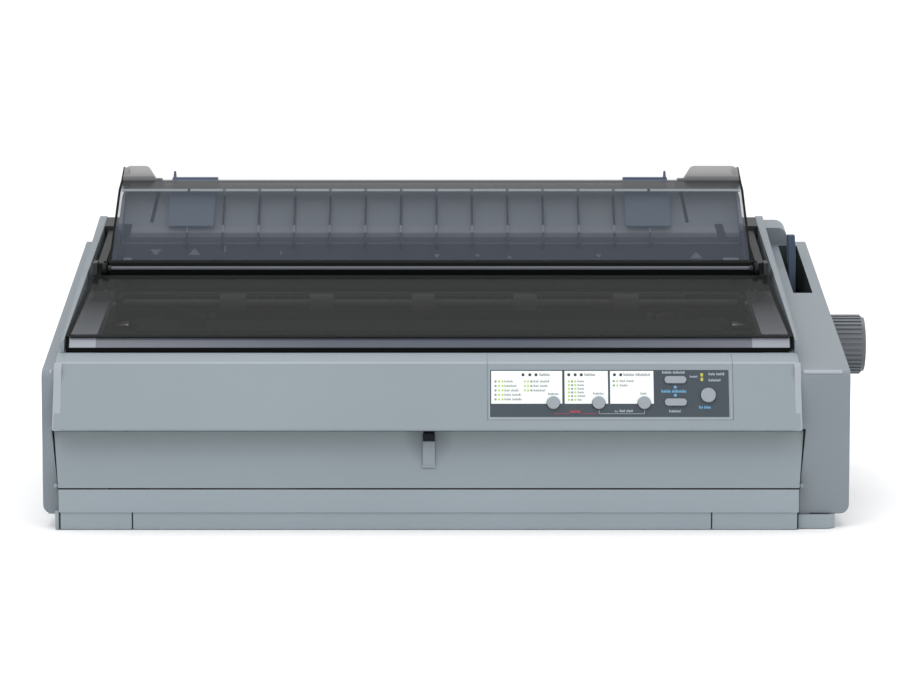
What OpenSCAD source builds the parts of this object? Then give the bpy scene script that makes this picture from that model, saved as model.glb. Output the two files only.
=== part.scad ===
// Wide-carriage dot matrix printer: a closed case with a smoked front cover, a leaning paper
// guide behind a smoked guide cover, a drop-down front door, a control panel and a platen knob.
// Working axes: X to the right, Y from the front edge to the back, Z up from the table.
// The finished model is shifted so that its origin is the centre of its footprint.

/* [Overall] */
// Width of the case without the knob
case_w = 607; // [600:1:615]
// Depth from the front edge of the fascia to the back wall
case_d = 402; // [400:1:410]
// Height of the paper guide's ears above the table
guide_top = 253.3; // [250:0.1:258]
// Thickness of the plastic walls
wall = 3; // [2.5:0.25:3.5]

/* [Deck and covers] */
// Slope of the deck and the front cover, in degrees
deck_slope = 12.4; // [11.5:0.1:13]
// Height of the deck at its front edge
deck_front_z = 116.7; // [115:0.1:118]
// Height of the rims above the deck, square to it
rim_h = 17.6; // [16:0.1:18.5]
// Height of the hinge line of the covers
hinge_z = 178; // [177:0.5:179]
// Distance of the hinge line behind the front edge
hinge_y = 200; // [199:0.5:201]
// Thickness of the smoked covers
cover_t = 3; // [2.5:0.25:3.5]

/* [Print path] */
// Height of the platen's axis
platen_z = 117; // [116:0.5:118]
// Radius of the platen's rubber
platen_r = 20; // [19:0.25:20]
// Radius of the knob outside the case
knob_r = 24; // [20:0.5:26]
// Reach of the knob outside the case
knob_l = 32; // [25:1:36]
// Width of the carriage
carriage_w = 44; // [36:1:48]
// Distance that the carriage travels
carriage_travel = 345; // [320:1:350]
// Reach of each tractor along the guide shaft
tractor_w = 26; // [24:1:28]

/* [Control panel] */
// Radius of the three round buttons
button_r = 4.8; // [4:0.1:5]
// Radius of the pause button
pause_r = 5.5; // [4.5:0.1:6]
// Length of the two oblong buttons
oblong_l = 16.4; // [14:0.1:18]
// Width of the two oblong buttons
oblong_w = 5.4; // [4.5:0.1:6]

/* [Hidden] */
$fn = 48;

case_color = "#9aa3ab";
dark_color = "#4c5155";
steel_color = "#b9bdc0";
smoke_color = "#5b6168";
blue_color = "#3f5573";
button_color = "#b4b8bd";

gap = 0.3;              // play between pieces that move past each other
fit = 0.05;             // radial play of a running fit
half_w = case_w / 2;
centre_x = -12.5;       // centre line of the covers and the print path
bay_l = -293.3;         // left and right ends of the fascia
bay_r = 265.1;
rim_out = 278.5;        // half width over the rims at the front
rim_spread = 2.8;       // how far the rims stand out further at the back
case_lift = 9.1;        // height at which the upper case starts
table_z = -1.8;         // level of the table
foot_h = 0.6;           // height of the rubber feet
base_z = table_z + foot_h;
base_half = 293.5;
board_z = 14;           // underside of the circuit boards
base_front = 6.4;       // front face of the base strip, below the sill
base_step = 4.6;        // set-back of the base right of the sill
case_front = 15;        // front of the cheeks, behind the fascia's lower edge
fascia_z = 74.1;        // lower edge of the fascia
fascia_top = [20, 122.9];
bevel_top = [33, 129];
fascia_outer = concat(arc([1.8, 75.6], 1.8, 270, 180, 3), [fascia_top, bevel_top]);
fascia_tilt = atan2(fascia_top[1] - fascia_z, fascia_top[0]);
fascia_run = norm([fascia_top[0], fascia_top[1] - fascia_z]);
frame_out = 270.5;      // half width over the side frames
frame_t = 2;
frame_in = frame_out - frame_t;
sill_l = -290.7;        // ends of the sill and the front door
sill_r = 264.8;
sill_low = 11.7;
sill_top = 29.1;
door_gap = 1.4;         // gap between the front door and the jambs
door_spread = 4.4;      // how far the door's upper corners stand out past its foot
shaft_r = 5;
rail = [92, 100];       // carriage rail, as [y, z]
car_shaft = [146, 84];  // carriage shaft, as [y, z]
car_home = -182;        // carriage centre at rest
belt_y = 110;
belt_z = 70;
pulley_r = 11;
drive_x = -248;
idle_x = 226;
platen = [hinge_y, platen_z];
gear_x = frame_out + centre_x + 2;
gear_t = 8;
gear_m = 1.5;
idler = platen + 37.5 * [cos(-50), sin(-50)];
pinion = idler + 24 * [cos(-70), sin(-70)];
lever_axis = [262, 110];
tractor_axis = [318, 118];
tractor_rod = [346, 118];
tension_axis = [214, 147];
roller_axis = [196, 151];
thickness_axis = [126, 104];
chute_half = 208;
rocker = [70, 62];
rocker_x = -half_w + 6;

function fascia_at(v, t) =
    [v * cos(fascia_tilt) - t * sin(fascia_tilt), fascia_z + v * sin(fascia_tilt) + t * cos(fascia_tilt)];
function deck_z(y) = deck_front_z + (y - case_front) * tan(deck_slope);
function arc(c, r, a0, a1, n = 6) =
    [for (i = [0:n]) c + r * [cos(a0 + (a1 - a0) * i / n), sin(a0 + (a1 - a0) * i / n)]];

module to_row() translate([half_w - (half_w + knob_l / 2), -case_d / 2, -table_z]) children();
// A plate whose outline is given in [y, z] and which runs from x0 to x1.
module prism_x(x0, x1, pts)
    translate([x0, 0, 0]) rotate([90, 0, 90]) linear_extrude(x1 - x0) polygon(pts);
module rod_x(x0, x1, c, r)
    translate([x0, c[0], c[1]]) rotate([0, 90, 0]) cylinder(r = r, h = x1 - x0);
module tube_x(x0, x1, c, r, bore) difference() {
    rod_x(x0, x1, c, r);
    rod_x(x0 - 1, x1 + 1, c, bore);
}
module block(x0, x1, y0, y1, z0, z1)
    translate([x0, y0, z0]) cube([x1 - x0, y1 - y0, z1 - z0]);
// Copies a piece that is drawn at half distances from the centre line to both sides.
module both_sides() { right_side() children(); left_side() children(); }
module right_side() translate([centre_x, 0, 0]) children();
module left_side() translate([centre_x, 0, 0]) mirror([1, 0, 0]) children();
// The deck's own plane: Y runs up the slope, Z stands square to it.
module on_deck() translate([0, case_front, deck_front_z]) rotate([deck_slope, 0, 0]) children();
// The fascia's own plane: Y runs up the fascia, Z points out of it.
module on_fascia() translate([0, 0, fascia_z]) rotate([fascia_tilt, 0, 0]) children();
// The hinge line of the covers.
module at_hinge() translate([0, hinge_y, hinge_z]) children();

// ---- Case -------------------------------------------------------------------------------
rear_low = [case_d, 100];
rear_high = [356, 200];
rear_k = (rear_low[0] - rear_high[0]) / (rear_high[1] - rear_low[1]);
deck_rear_y = (rear_low[0] + rear_k * (rear_low[1] - deck_front_z)
    + rear_k * tan(deck_slope) * case_front) / (1 + rear_k * tan(deck_slope));
// Round corner between the deck and the rear slope.
rear_r = 28.7;
rear_run = rear_r * tan((90 + deck_slope - atan(rear_k)) / 2);
rear_round_at = [deck_rear_y, deck_z(deck_rear_y)] - rear_run * [cos(deck_slope), sin(deck_slope)]
    + rear_r * [sin(deck_slope), -cos(deck_slope)];
module side_outline(inset = 0) polygon(concat(
    inset > 0 ? [[case_front + inset, case_lift + inset]]
        : arc([case_front + 1.2, case_lift + 1.2], 1.2, 270, 180),
    arc([case_front + 7, deck_front_z - 5.5], 7 - inset, 180, 102),
    arc(rear_round_at, rear_r - inset, 90 + deck_slope, atan(rear_k)),
    [[rear_low[0] - inset, rear_low[1]]],
    arc([case_d - 8, case_lift + 8], 8 - inset, 0, -90)));
module side_slab(x0, x1, inset = 0)
    translate([x0, 0, 0]) rotate([90, 0, 90]) linear_extrude(x1 - x0) side_outline(inset);
// Rounds the lower edges that run from the front to the back.
module front_outline(x, r) rotate([90, 0, 0]) translate([0, 0, -case_d - 1]) linear_extrude(case_d + 2)
    polygon(concat(arc([x - r, case_lift + r], r, 270, 360), [[x, 240], [-x, 240]],
        arc([-x + r, case_lift + r], r, 180, 270)));

module upper_case() color(case_color) difference() {
    union() {
        difference() {
            intersection() {
                side_slab(-half_w, half_w);
                front_outline(half_w, 7);
            }
            side_slab(-half_w + wall, half_w - wall, wall);
            // The bay for the covers, and the door opening below the fascia.
            block(bay_l + wall, bay_r - wall, 0, 330, case_lift - 1, 260);
            block(sill_l - door_gap, sill_r + door_gap, 0, 30, case_lift - 1, 77);
            door_opening();
            block(bay_l + wall, bay_r - wall, 0, 30, 70, 260);
            // Room for the upper ends of the fascia, which stand flush with the cheeks there.
            block(bay_l, bay_r, 0, fascia_top[0] - 1, 108, fascia_top[1] + 1);
            // The bottom is open inside a flange that the lower case carries.
            block(wall - base_half, base_half - wall, 21, case_d - 9, base_z, case_lift + wall + 1);
        }
        // Inner sides of the decks and the rims that stand on them.
        both_sides() on_deck() difference() {
            translate([0, 0, -8]) linear_extrude(rim_h + 8) polygon([[rim_out, 22],
                [rim_out + rim_spread, 350], [rim_out - 4, 350], [rim_out - 5.4, 185], [rim_out - 2.5, 22]]);
            translate([rim_out - 1.5, 18, rim_h - 1]) rotate([0, 45, -atan(rim_spread / 340)]) cube([4, 342, 4]);
        }
        // Ledges below the ends of the front cover.
        both_sides() on_deck() translate([rim_out - 27, 24, 5]) cube([25.5, 150, 2.5]);
        // Rear crossbar and its slope down to the back wall.
        on_deck() translate([centre_x - rim_out + 3, 322, -12]) difference() {
            cube([2 * rim_out - 6, 26, rim_h + 11.6]);
            translate([4, wall, -1]) cube([2 * rim_out - 14, 26 - 2 * wall, rim_h + 12.6 - wall]);
        }
        // Raised block behind the lever slot.
        on_deck() translate([centre_x + rim_out - 1, 348, -12]) rotate([90, 0, 0]) linear_extrude(24)
            polygon(concat([[0, 0], [22, 0]], arc([13, 18], 9, 0, 90), [[0, 27]]));
        fascia();
        // Housing of the power rocker, on the inside of the left wall.
        block(-half_w + 1, -half_w + 14, rocker[0] - 14, rocker[0] + 14, rocker[1] - 10, rocker[1] + 10);
        // Jambs beside the front door.
        difference() {
            for (x = [sill_l - door_gap - jamb_t, sill_r + door_gap]) block(x, x + jamb_t, case_front, 44, case_lift, 100);
            door_opening();
        }
        // Lugs that carry the front door's pins.
        for (x = [sill_l - door_gap - lug_t, sill_r + door_gap]) {
            rod_x(x, x + lug_t, door_pin, 1.9);
            block(x, x + lug_t, door_pin[0], case_front + 1, door_pin[1] - 1.9, door_pin[1] + 1.9);
        }
        // Walls of the lever slot.
        difference() {
            block(277.5, 297, 201, 332, 150, 200);
            on_deck() translate([0, 0, -1]) cube([400, 400, 60]);
        }
    }
    // Pin holes in the lugs.
    rod_x(sill_l - door_gap - lug_t - 1, sill_l, door_pin, door_pin_r + fit);
    rod_x(sill_r, sill_r + door_gap + lug_t + 1, door_pin, door_pin_r + fit);
    // Lever slot through the deck.
    block(279.5, 295, 203, 330, 140, 230);
    // Platen shaft hole in the right wall, rocker hole in the left wall.
    rod_x(half_w - wall - 1, half_w + 1, platen, 8);
    block(-half_w - 1, -half_w + 11, rocker[0] - 11, rocker[0] + 11, rocker[1] - 7, rocker[1] + 7);
    // Paper slot in the rear slope.
    translate([0, (rear_low[0] + rear_high[0]) / 2, 150]) rotate([atan(rear_k), 0, 0])
        translate([-240, -10, -25]) cube([455, 20, 39]);
    translate([rocker_x, rocker[0], rocker[1] - 9]) cylinder(r = 1.5 + fit, h = 18, $fn = 24);
    // Opening in the back wall for the connector panel.
    block(-rear_panel_x, rear_panel_x, case_d - wall - 1, case_d + 1, rear_panel_low, rear_panel_high);
    // Cooling slots in the left wall.
    for (i = [0:11])
        block(-half_w - 1, -half_w + wall + 1, 150 + i * 14, 156 + i * 14, 40, 84);
}
// Connector panel in the back wall.
rear_panel_x = 286;
rear_panel_low = 20;
rear_panel_high = 62;
module rear_panel() color(case_color) difference() {
    block(gap - rear_panel_x, rear_panel_x - gap, case_d - wall, case_d, rear_panel_low,
        rear_panel_high - gap);
    block(-264, -236, case_d - 6, case_d + 1, 30, 50);
    block(20, 130, case_d - 6, case_d + 1, 28, 52);
    block(158, 222, case_d - 6, case_d + 1, 30, 48);
    block(233, 247, case_d - 6, case_d + 1, 32, 46);
}
// Fascia with its bevel, its closed ends and the inner lip that the cover rests on.
module fascia() difference() {
    union() {
        prism_x(bay_l, bay_r, concat(fascia_outer, [[34.5, 128.4], [34.5, 126], [54, 130.4],
            [54, 127.6], [36, 122], [31.5, 124.5], fascia_at(fascia_run - 2, -wall),
            [4.2, 76.5], [22.5, 80.5], [24.5, 78]]));
        for (x = [bay_l + 0.5, bay_r - wall - 0.5]) prism_x(x, x + wall, concat(
            [for (p = fascia_outer) p + [0.6, -0.2]], [[52, 129], [52, 100], [30, 79]]));
    }
    prism_x(30.8, 215.2, [fascia_at(8.2, 3), fascia_top + [-2, 4], bevel_top + [0.2, 4],
        bevel_top + [0.2, -3.2], [29, 119], fascia_at(fascia_run - 4, -wall - 3), fascia_at(8.2, -wall - 3)]);
}
module lower_case() color(case_color) difference() {
    union() {
        difference() {
            tray_block(0);
            tray_block(wall);
        }
        // Sill below the front door, with an end wall at each side.
        prism_x(sill_l, sill_r, [[5, sill_low], [8, sill_low], [8, sill_top - 1.2], [5, sill_top]]);
        block(sill_l, sill_r, 5, 21, sill_low, sill_low + wall);
        for (x = [sill_l, sill_r - wall]) block(x, x + wall, 5, 21, sill_low, sill_top - 8);
        // Front strip of the base, up to the sill.
        block(-base_half, sill_r, base_front, base_front + wall, base_z, sill_low + 1);
        // Posts that carry the side frames and boards.
        both_sides() for (y = [80, 320]) block(frame_out, frame_out + 3.5, y, y + 20,
            base_z + 1, 24);
        for (x = [-200, 60, 210], y = [150, 300]) translate([x, y, base_z + 1])
            cylinder(r = 4, h = board_z - base_z - 1);
    }
    for (x = [-235.5, 199.5, sill_l, sill_r - 0.5]) block(x - 0.4, x + 0.4, base_front - 1, base_front + 0.7, table_z, sill_low);
}
module tray_block(inset) translate([0, 0, inset > 0 ? base_z + wall : base_z])
    linear_extrude(case_lift - base_z) polygon(concat(
        [[inset - base_half, 396 - inset], [inset - base_half, base_front + inset],
            [sill_r - inset, base_front + inset], [sill_r - inset, base_front + base_step + inset]],
        arc([base_half - 8, base_front + base_step + 8], 8 - inset, 270, 360),
        [[base_half - inset, 396 - inset]]));
module rubber_feet() color("#2b2d2f")
    for (x = [-262, 262], y = [30, 372]) translate([x, y, table_z]) cylinder(r = 11, h = foot_h);

// ---- Control panel ----------------------------------------------------------------------
button_xs = [80.4, 114.4, 148.5];
button_v = 21.5;
pause_at = [196.4, 27.3];
oblong_at = [[172, 39.4], [172, 22]];
led_at = [[57.8, 43.5], [62.9, 43.5], [67.5, 43.5], [92.1, 43.5], [96.9, 43.5], [101.5, 43.5],
    [126.4, 43.5], [131.1, 43.5], [191.9, 43.7], [191.9, 40.1]];
label_t = 0.4;
module button_shapes(grow) {
    for (x = button_xs) translate([x, button_v]) circle(r = button_r + grow);
    translate(pause_at) circle(r = pause_r + grow);
    for (p = oblong_at) translate(p) oblong(grow);
}
module oblong(grow) {
    square([oblong_l - oblong_w, oblong_w + 2 * grow], center = true);
    for (s = [-1, 1]) translate([s * (oblong_l - oblong_w) / 2, 0]) circle(r = oblong_w / 2 + grow);
}
module panel_bezel() color(case_color) difference() {
    union() {
        prism_x(31, 215, [fascia_at(8.4, 0), fascia_top, bevel_top, bevel_top + [-0.1, -2.8],
            fascia_at(fascia_run - 1, -wall), fascia_at(8.4, -wall)]);
        on_fascia() for (x = [40, 206], v = [14, 40]) translate([x, v, -12]) cylinder(r = 3, h = 10);
    }
    on_fascia() translate([33, 10.8, -label_t]) cube([179, 36.5, 1]);
    on_fascia() translate([0, 0, -6]) linear_extrude(8) {
        button_shapes(gap);
        for (p = led_at) translate(p) circle(r = 1.1);
    }
}
module panel_label() color("#4a5561") on_fascia() translate([0, 0, -label_t]) linear_extrude(label_t)
    difference() {
        translate([33.1, 10.9]) square([178.8, 36.3]);
        button_shapes(gap);
        for (p = led_at) translate(p) circle(r = 1.1);
    }
module panel_board() color("#3c6a4a") on_fascia() {
    translate([36, 12, -13.6]) cube([176, 33, 1.6]);
    for (p = led_at) translate([p[0], p[1], -12]) cylinder(r = 1, h = 12.1);
}
// A key: a cap that stands proud of the label on a wider foot behind the bezel.
module key(i) color(button_color) on_fascia() {
    if (i < 3) translate([button_xs[i], button_v, 0]) {
        translate([0, 0, -7.5]) cylinder(r = button_r, h = 9.6);
        translate([0, 0, -7.5]) cylinder(r = button_r + 1.6, h = 2.5);
    } else if (i < 5) translate([oblong_at[i - 3][0], oblong_at[i - 3][1], -7.5]) {
        linear_extrude(9.2) oblong(0);
        linear_extrude(2.5) oblong(1.2);
    } else translate([pause_at[0], pause_at[1], -7.5]) {
        cylinder(r = pause_r, h = 10);
        cylinder(r = pause_r + 1.6, h = 2.5);
    }
}
module button_font() key(0);
module button_pitch() key(1);
module button_tear() key(2);
module button_load() key(3);
module button_feed() key(4);
module button_pause() key(5);

// ---- Front door -------------------------------------------------------------------------
door_foot = [5.5, 30.1];
door_head = [20.6, 70.9];
door_pin = [7.1, 31.7];
door_pin_r = 0.95;
lug_t = 2;
jamb_t = wall + door_spread;
// The door's outline and its opening, which widen evenly from the foot up.
module door_outline(grow) rotate([90, 0, 0]) translate([0, 0, -30]) linear_extrude(32) polygon([
    [sill_l - grow, door_foot[1] - 2], [sill_r + grow, door_foot[1] - 2],
    [sill_r + grow + door_spread, door_head[1] + grow], [sill_l - grow - door_spread, door_head[1] + grow]]);
module door_opening() {
    door_outline(door_gap);
    block(sill_l - door_gap - door_spread, sill_r + door_gap + door_spread, 0, 30, door_head[1],
        fascia_z - 0.5);
}
latch_x = -12.9;
module front_cover() color(case_color) difference() {
    union() {
        intersection() {
            prism_x(sill_l - door_spread, sill_r + door_spread, [door_foot, door_head, door_head + [3, -0.6],
                door_foot + [3, 0]]);
            door_outline(0);
        }
        // Pins in the lugs of the upper case.
        rod_x(sill_l - door_gap - lug_t, sill_l + 6, door_pin, door_pin_r);
        rod_x(sill_r - 6, sill_r + door_gap + lug_t, door_pin, door_pin_r);
        for (x = [sill_l + 3, sill_r - 6]) prism_x(x, x + 3, [door_foot + [1, 0], door_head + [1, -1],
            door_head + [5, -4], door_foot + [15, 8], door_foot + [9, 0]]);
        // Channel behind the latch.
        prism_x(latch_x - 9, latch_x + 9, [[17, 44], [24, 64], [27, 62], [20, 43]]);
        for (x = [latch_x - 9, latch_x + 7])
            prism_x(x, x + 2, [[12, 45], [19, 63], [26, 62.5], [19, 43.5]]);
    }
    // Window for the latch and the finger hole above it.
    prism_x(latch_x - 4.2, latch_x + 4.2, [[5, 47], [13, 72], [28, 70], [16, 47.6]]);
}
module front_latch() color("#a7adb3") {
    prism_x(latch_x - 3.9, latch_x + 3.9, [[11.4, 49.6], [17.1, 64.8], [19.7, 63.6], [14.4, 49.2]]);
    prism_x(latch_x - 3, latch_x + 3, [[14, 52], [18.8, 63.8], [20.4, 64], [23, 69.5], [24.6, 69],
        [22.3, 62], [18.2, 52]]);
}

// ---- Covers and paper guide -------------------------------------------------------------
cover_half_front = 275;
cover_half_rear = 270.4;
knuckle_r = 5.2;
pin_r = 2.5;
cover_zone = [263.5, 266.7];
guide_zone = [260.1, 263.2];
panel_zone = [256.6, 259.8];
module knuckle(zone) at_hinge() tube_x(zone[0], zone[1], [0, 0], knuckle_r, pin_r + fit);
module printer_cover() color(smoke_color) {
    on_deck() translate([centre_x, 0, rim_h - cover_t]) linear_extrude(cover_t) polygon([
        [-cover_half_front, 33], [cover_half_front, 33], [cover_half_rear, 184], [-cover_half_rear, 184]]);
    // Front lip.
    prism_x(centre_x - cover_half_front, centre_x + cover_half_front, [[36, 132.4], [41.5, 140.1],
        [45.5, 140.9], [45.5, 138.6], [43, 137.4], [39, 132]]);
    // Hinge arms beside the rear edge.
    both_sides() {
        knuckle(cover_zone);
        difference() {
            on_deck() translate([cover_zone[0], 172, rim_h - 7]) cube([3.2, 18, 8]);
            at_hinge() rod_x(250, 280, [0, 0], pin_r + 1);
        }
    }
}
panel_foot = [206.5, 182];
panel_crease = [292, 235.1];
panel_end = [315, 241.6];
function square_to(a, b) = cover_t * [a[1] - b[1], b[0] - a[0]] / norm(b - a);
panel_n = square_to(panel_foot, panel_crease);
end_n = square_to(panel_crease, panel_end);
module guide_cover() color(smoke_color) {
    prism_x(centre_x - 258.4, centre_x + 258.4, [panel_foot, panel_crease, panel_end,
        panel_end - end_n, panel_crease - (panel_n + end_n) / 2, panel_foot - panel_n]);
    // Side flanges behind the panel and hinge tabs at its foot.
    both_sides() {
        prism_x(256.4, 258.4, [panel_foot + [2, 0], panel_crease, panel_end - [2, 1],
            panel_end + [-8, -9], panel_foot + [12, -1], panel_foot + [4, -3]]);
        difference() {
            union() {
                knuckle(panel_zone);
                prism_x(panel_zone[0], panel_zone[1], [[203, 180], [209, 185], [212, 180], [204, 176]]);
            }
            at_hinge() rod_x(250, 280, [0, 0], pin_r + fit);
        }
    }
}
guide_foot = [228, 160];
guide_head = [319, 237.5];
guide_u = (guide_head - guide_foot) / norm(guide_head - guide_foot);
guide_n = [-guide_u[1], guide_u[0]];
guide_half = 255.4;
ear_w_left = 22;
ear_w_right = 41;
rib_pitch = 29.3;
rib_count = 14;
rib_x0 = -213;
guide_rod = [324, 240.3];
function on_guide(s, t) = guide_foot + guide_u * s + guide_n * t;
module paper_guide() color("#8f9296") {
    prism_x(centre_x - guide_half + 1, centre_x + guide_half - 1, [on_guide(0, 0), on_guide(52, 0),
        on_guide(54, 4), on_guide(104, 4), on_guide(106, 0), on_guide(121, 0),
        on_guide(119, -1.8), on_guide(105.2, -1.8), on_guide(102.6, 1.2), on_guide(55.4, 1.2),
        on_guide(53.2, -2.8), on_guide(0, -2.8)]);
    // Ribs down the face, long above the step and short below it.
    for (i = [0:rib_count - 1]) {
        x = rib_x0 + i * rib_pitch;
        prism_x(x - 0.8, x + 0.8, [on_guide(57, 3.8), on_guide(64.5, 7.5), on_guide(98, 7.5),
            on_guide(103, 3.8)]);
        prism_x(x - 0.8, x + 0.8, [on_guide(44, -0.2), on_guide(45, 6), on_guide(57.5, 6),
            on_guide(57.5, 3.8), on_guide(53, 1), on_guide(51, -0.2)]);
    }
    // Ears at both ends, each with a lower shoulder that carries the edge guides' rod.
    both_sides() {
        prism_x(guide_half - 2, guide_half, [on_guide(0, -4), on_guide(4, 3), on_guide(56, 6),
            on_guide(110, 5), on_guide(121, 0), on_guide(115, -4)]);
        // Arms to the hinge line.
        difference() {
            union() {
                prism_x(guide_half - 1, guide_zone[1], [on_guide(1, -3.8), on_guide(6, 2.4), on_guide(30, 2.4),
                    on_guide(30, -3.8)]);
                prism_x(guide_zone[0], guide_zone[1], [[197, 174.5], [203, 182], on_guide(24, 3),
                    on_guide(14, -4), on_guide(0, -4)]);
                knuckle(guide_zone);
            }
            at_hinge() rod_x(240, 280, [0, 0], pin_r + fit);
        }
    }
    left_side() ear(ear_w_left);
    right_side() ear(ear_w_right);
    rod_x(centre_x - 228, centre_x + 228, guide_rod, 1.5);
}
// An ear whose flat top is w wide, with a low shoulder on its inner side. Its upper front
// leans back.
module ear(w) difference() {
    translate([0, 326, 0]) rotate([90, 0, 0]) linear_extrude(9.5) polygon(concat(
        arc([guide_half - 4, guide_top - 5], 5, 0, 90, 4),
        arc([guide_half - w + 6, guide_top - 5], 5, 90, 160, 4),
        [[guide_half - w - 3, 243.2], [guide_half - w - 8, 243.2], [guide_half - w - 10, 239.6],
         [guide_half - w - 10, 234], [guide_half + 1, 234]]));
    prism_x(100, 300, [[310, 245], [316.5, 245], [322, guide_top + 1], [310, guide_top + 1]]);
}
// A block that slides on the rod, with a flat plate that runs down the guide over its ribs.
module edge_guide(x0, w, pin_x) color(blue_color) difference() {
    union() {
        block(x0, x0 + w, 320.8, 328, 236.6, 243.8);
        block(x0, x0 + w, 327, 330, 230, 243.8);
        translate([pin_x, 324.5, 241]) cylinder(r1 = 1.6, r2 = 0.9, h = 8, $fn = 24);
        prism_x(x0, x0 + w, [on_guide(62, 8), on_guide(99, 8), on_guide(109, 1.2), on_guide(124, 1.2),
            on_guide(124, 2.3), on_guide(109.6, 2.3), on_guide(99.6, 9.2), on_guide(62, 9.2)]);
    }
    rod_x(x0 - 1, x0 + w + 1, guide_rod, 1.5 + fit);
}
module edge_guide_left() edge_guide(-229, 38, -227);
module edge_guide_right() edge_guide(148, 37, 183);
module hinge_bracket() color("#5b5b5b") {
    prism_x(frame_in - 4.5, frame_out, [[207.5, 158.2], [207.5, 172], [210, deck_z(210) + 15.6],
        [324, deck_z(324) + 14.4], [326, 172], [340, 158.2]]);
    prism_x(267, frame_out, [[192, 158.2], [193, 183], [207, 184], [210, 158.2]]);
    at_hinge() rod_x(256.2, 268, [0, 0], pin_r);
}
module hinge_bracket_left() left_side() hinge_bracket();
module hinge_bracket_right() right_side() hinge_bracket();

// ---- Chassis ----------------------------------------------------------------------------
module side_frame_shape() difference() {
    prism_x(frame_in, frame_out, [[62, 24], [62, 118], [70, 122], [188, 146], [192, 158], [342, 158],
        [352, 140], [352, 24]]);
    for (c = [[platen, shaft_r], [car_shaft, 4], [tractor_axis, 4], [tractor_rod, 3]])
        rod_x(frame_in - 1, frame_out + 1, c[0], c[1] + fit);
}
module side_frame_left() color(steel_color) left_side() {
    side_frame_shape();
    rod_x(frame_in - 8, frame_in + 1, thickness_axis, 3);
    rod_x(246, frame_in + 1, tension_axis, 3);
}
module side_frame_right() color(steel_color) {
    right_side() {
        difference() {
            side_frame_shape();
            rod_x(frame_in - 1, frame_out + 1, pinion, 6);
        }
        rod_x(246, frame_in + 1, tension_axis, 3);
    }
    // Studs for the idler gear and the release lever.
    rod_x(frame_out + centre_x - 1, gear_x + gear_t + 2, idler, 4);
    rod_x(frame_out + centre_x - 1, 291, lever_axis, 4);
}
module carriage_shaft() color(steel_color)
    rod_x(centre_x - frame_out - 1, centre_x + frame_out + 1, car_shaft, 4);
module carriage_rail() color(steel_color) {
    prism_x(centre_x - frame_in, centre_x + frame_in, [rail, rail + [2, 0], rail + [2, -20],
        rail + [-18, -20], rail + [-18, -18], rail + [0, -18]]);
    // Bracket below the idle pulley.
    block(idle_x - 12, idle_x + 12, rail[0] - 8, rail[0] - 4, 70, 81);
    difference() {
        block(idle_x - 12, idle_x + 12, rail[0] - 8, belt_y + 12, 70, 73);
        translate([idle_x, belt_y, 69]) cylinder(r = 2.5 + fit, h = 6);
    }
}
module paper_chute() color(dark_color) {
    prism_x(centre_x - chute_half, centre_x + chute_half, [[36, 46], [150, 62], [196, 90], [204, 94],
        [204, 91.6], [198, 88], [152, 59.6], [36, 43.6]]);
    for (s = [-1, 0, 1], y = [56, 108]) block(centre_x + s * 180 - 2, centre_x + s * 180 + 2, y, y + 8,
        base_z + wall, 46 + (y - 36) * 0.14 - 1);
}
module motor_x(x0, x1, c, r) {
    rod_x(x0, x1, c, r);
    block(x0 + 4, x1 - 4, c[0] - r - 2, c[0] + r + 2, c[1] - 12, c[1] + 12);
}
module feed_motor() color("#3b3e41") {
    motor_x(frame_in + centre_x - 30, frame_in + centre_x, pinion, 20);
    rod_x(frame_in + centre_x - 1, gear_x + gear_t + 1, pinion, 3);
}
module carriage_motor() color("#3b3e41") {
    translate([drive_x, belt_y, 24]) cylinder(r = 21, h = 34);
    translate([drive_x - 21, belt_y - 21, 56]) cube([42, 42, 3]);
    translate([drive_x, belt_y, 58]) cylinder(r = 2.5, h = 24);
    translate([drive_x - 15, belt_y - 15, base_z + wall]) cube([30, 30, 24]);
}
// Gear with straight-sided teeth, cut slim so that it runs free in its mate.
module gear(c, teeth, bore, phase = 0) translate([gear_x, c[0], c[1]]) rotate([90, 0, 90]) {
    pitch_r = gear_m * teeth / 2;
    root_r = pitch_r - gear_m * 1.15;
    tip_r = pitch_r + gear_m * 0.6;
    linear_extrude(gear_t) difference() {
        union() {
            circle(r = root_r);
            for (i = [0:teeth - 1]) rotate(i * 360 / teeth + phase) polygon([[root_r - 1, -gear_m * 0.8],
                [root_r, -gear_m * 0.8], [tip_r, -gear_m * 0.36], [tip_r, gear_m * 0.36],
                [root_r, gear_m * 0.8], [root_r - 1, gear_m * 0.8]]);
        }
        circle(r = bore);
    }
}
module platen_gear() color("#e4e2d8") gear(platen, 30, shaft_r, -50);
module idler_gear() color("#e4e2d8") gear(idler, 20, 4 + fit, 139);
module feed_pinion() color("#c9b26a") gear(pinion, 12, 3 + fit, 106.67);
module platen_shaft() color(steel_color) rod_x(centre_x - frame_out - 4, half_w + 12, platen, shaft_r);
module platen_roller() color("#26282a")
    tube_x(centre_x - 242, centre_x + 242, platen, platen_r, shaft_r);
module platen_knob() color(dark_color) difference() {
    union() {
        rod_x(half_w + 0.5, half_w + knob_l - 2, platen, knob_r - 1.2);
        rod_x(half_w + knob_l - 3, half_w + knob_l, platen, knob_r - 2.2);
        rod_x(half_w + 0.5, half_w + 4, platen, knob_r);
        for (i = [0:35]) translate([half_w + 3, platen[0], platen[1]]) rotate([i * 10, 0, 0])
            translate([0, -0.9, knob_r - 2.4]) cube([knob_l - 6, 1.8, 2.3]);
    }
    rod_x(half_w, half_w + 12, platen, shaft_r);
    rod_x(half_w + knob_l - 5, half_w + knob_l + 1, platen, knob_r - 7);
}
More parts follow.
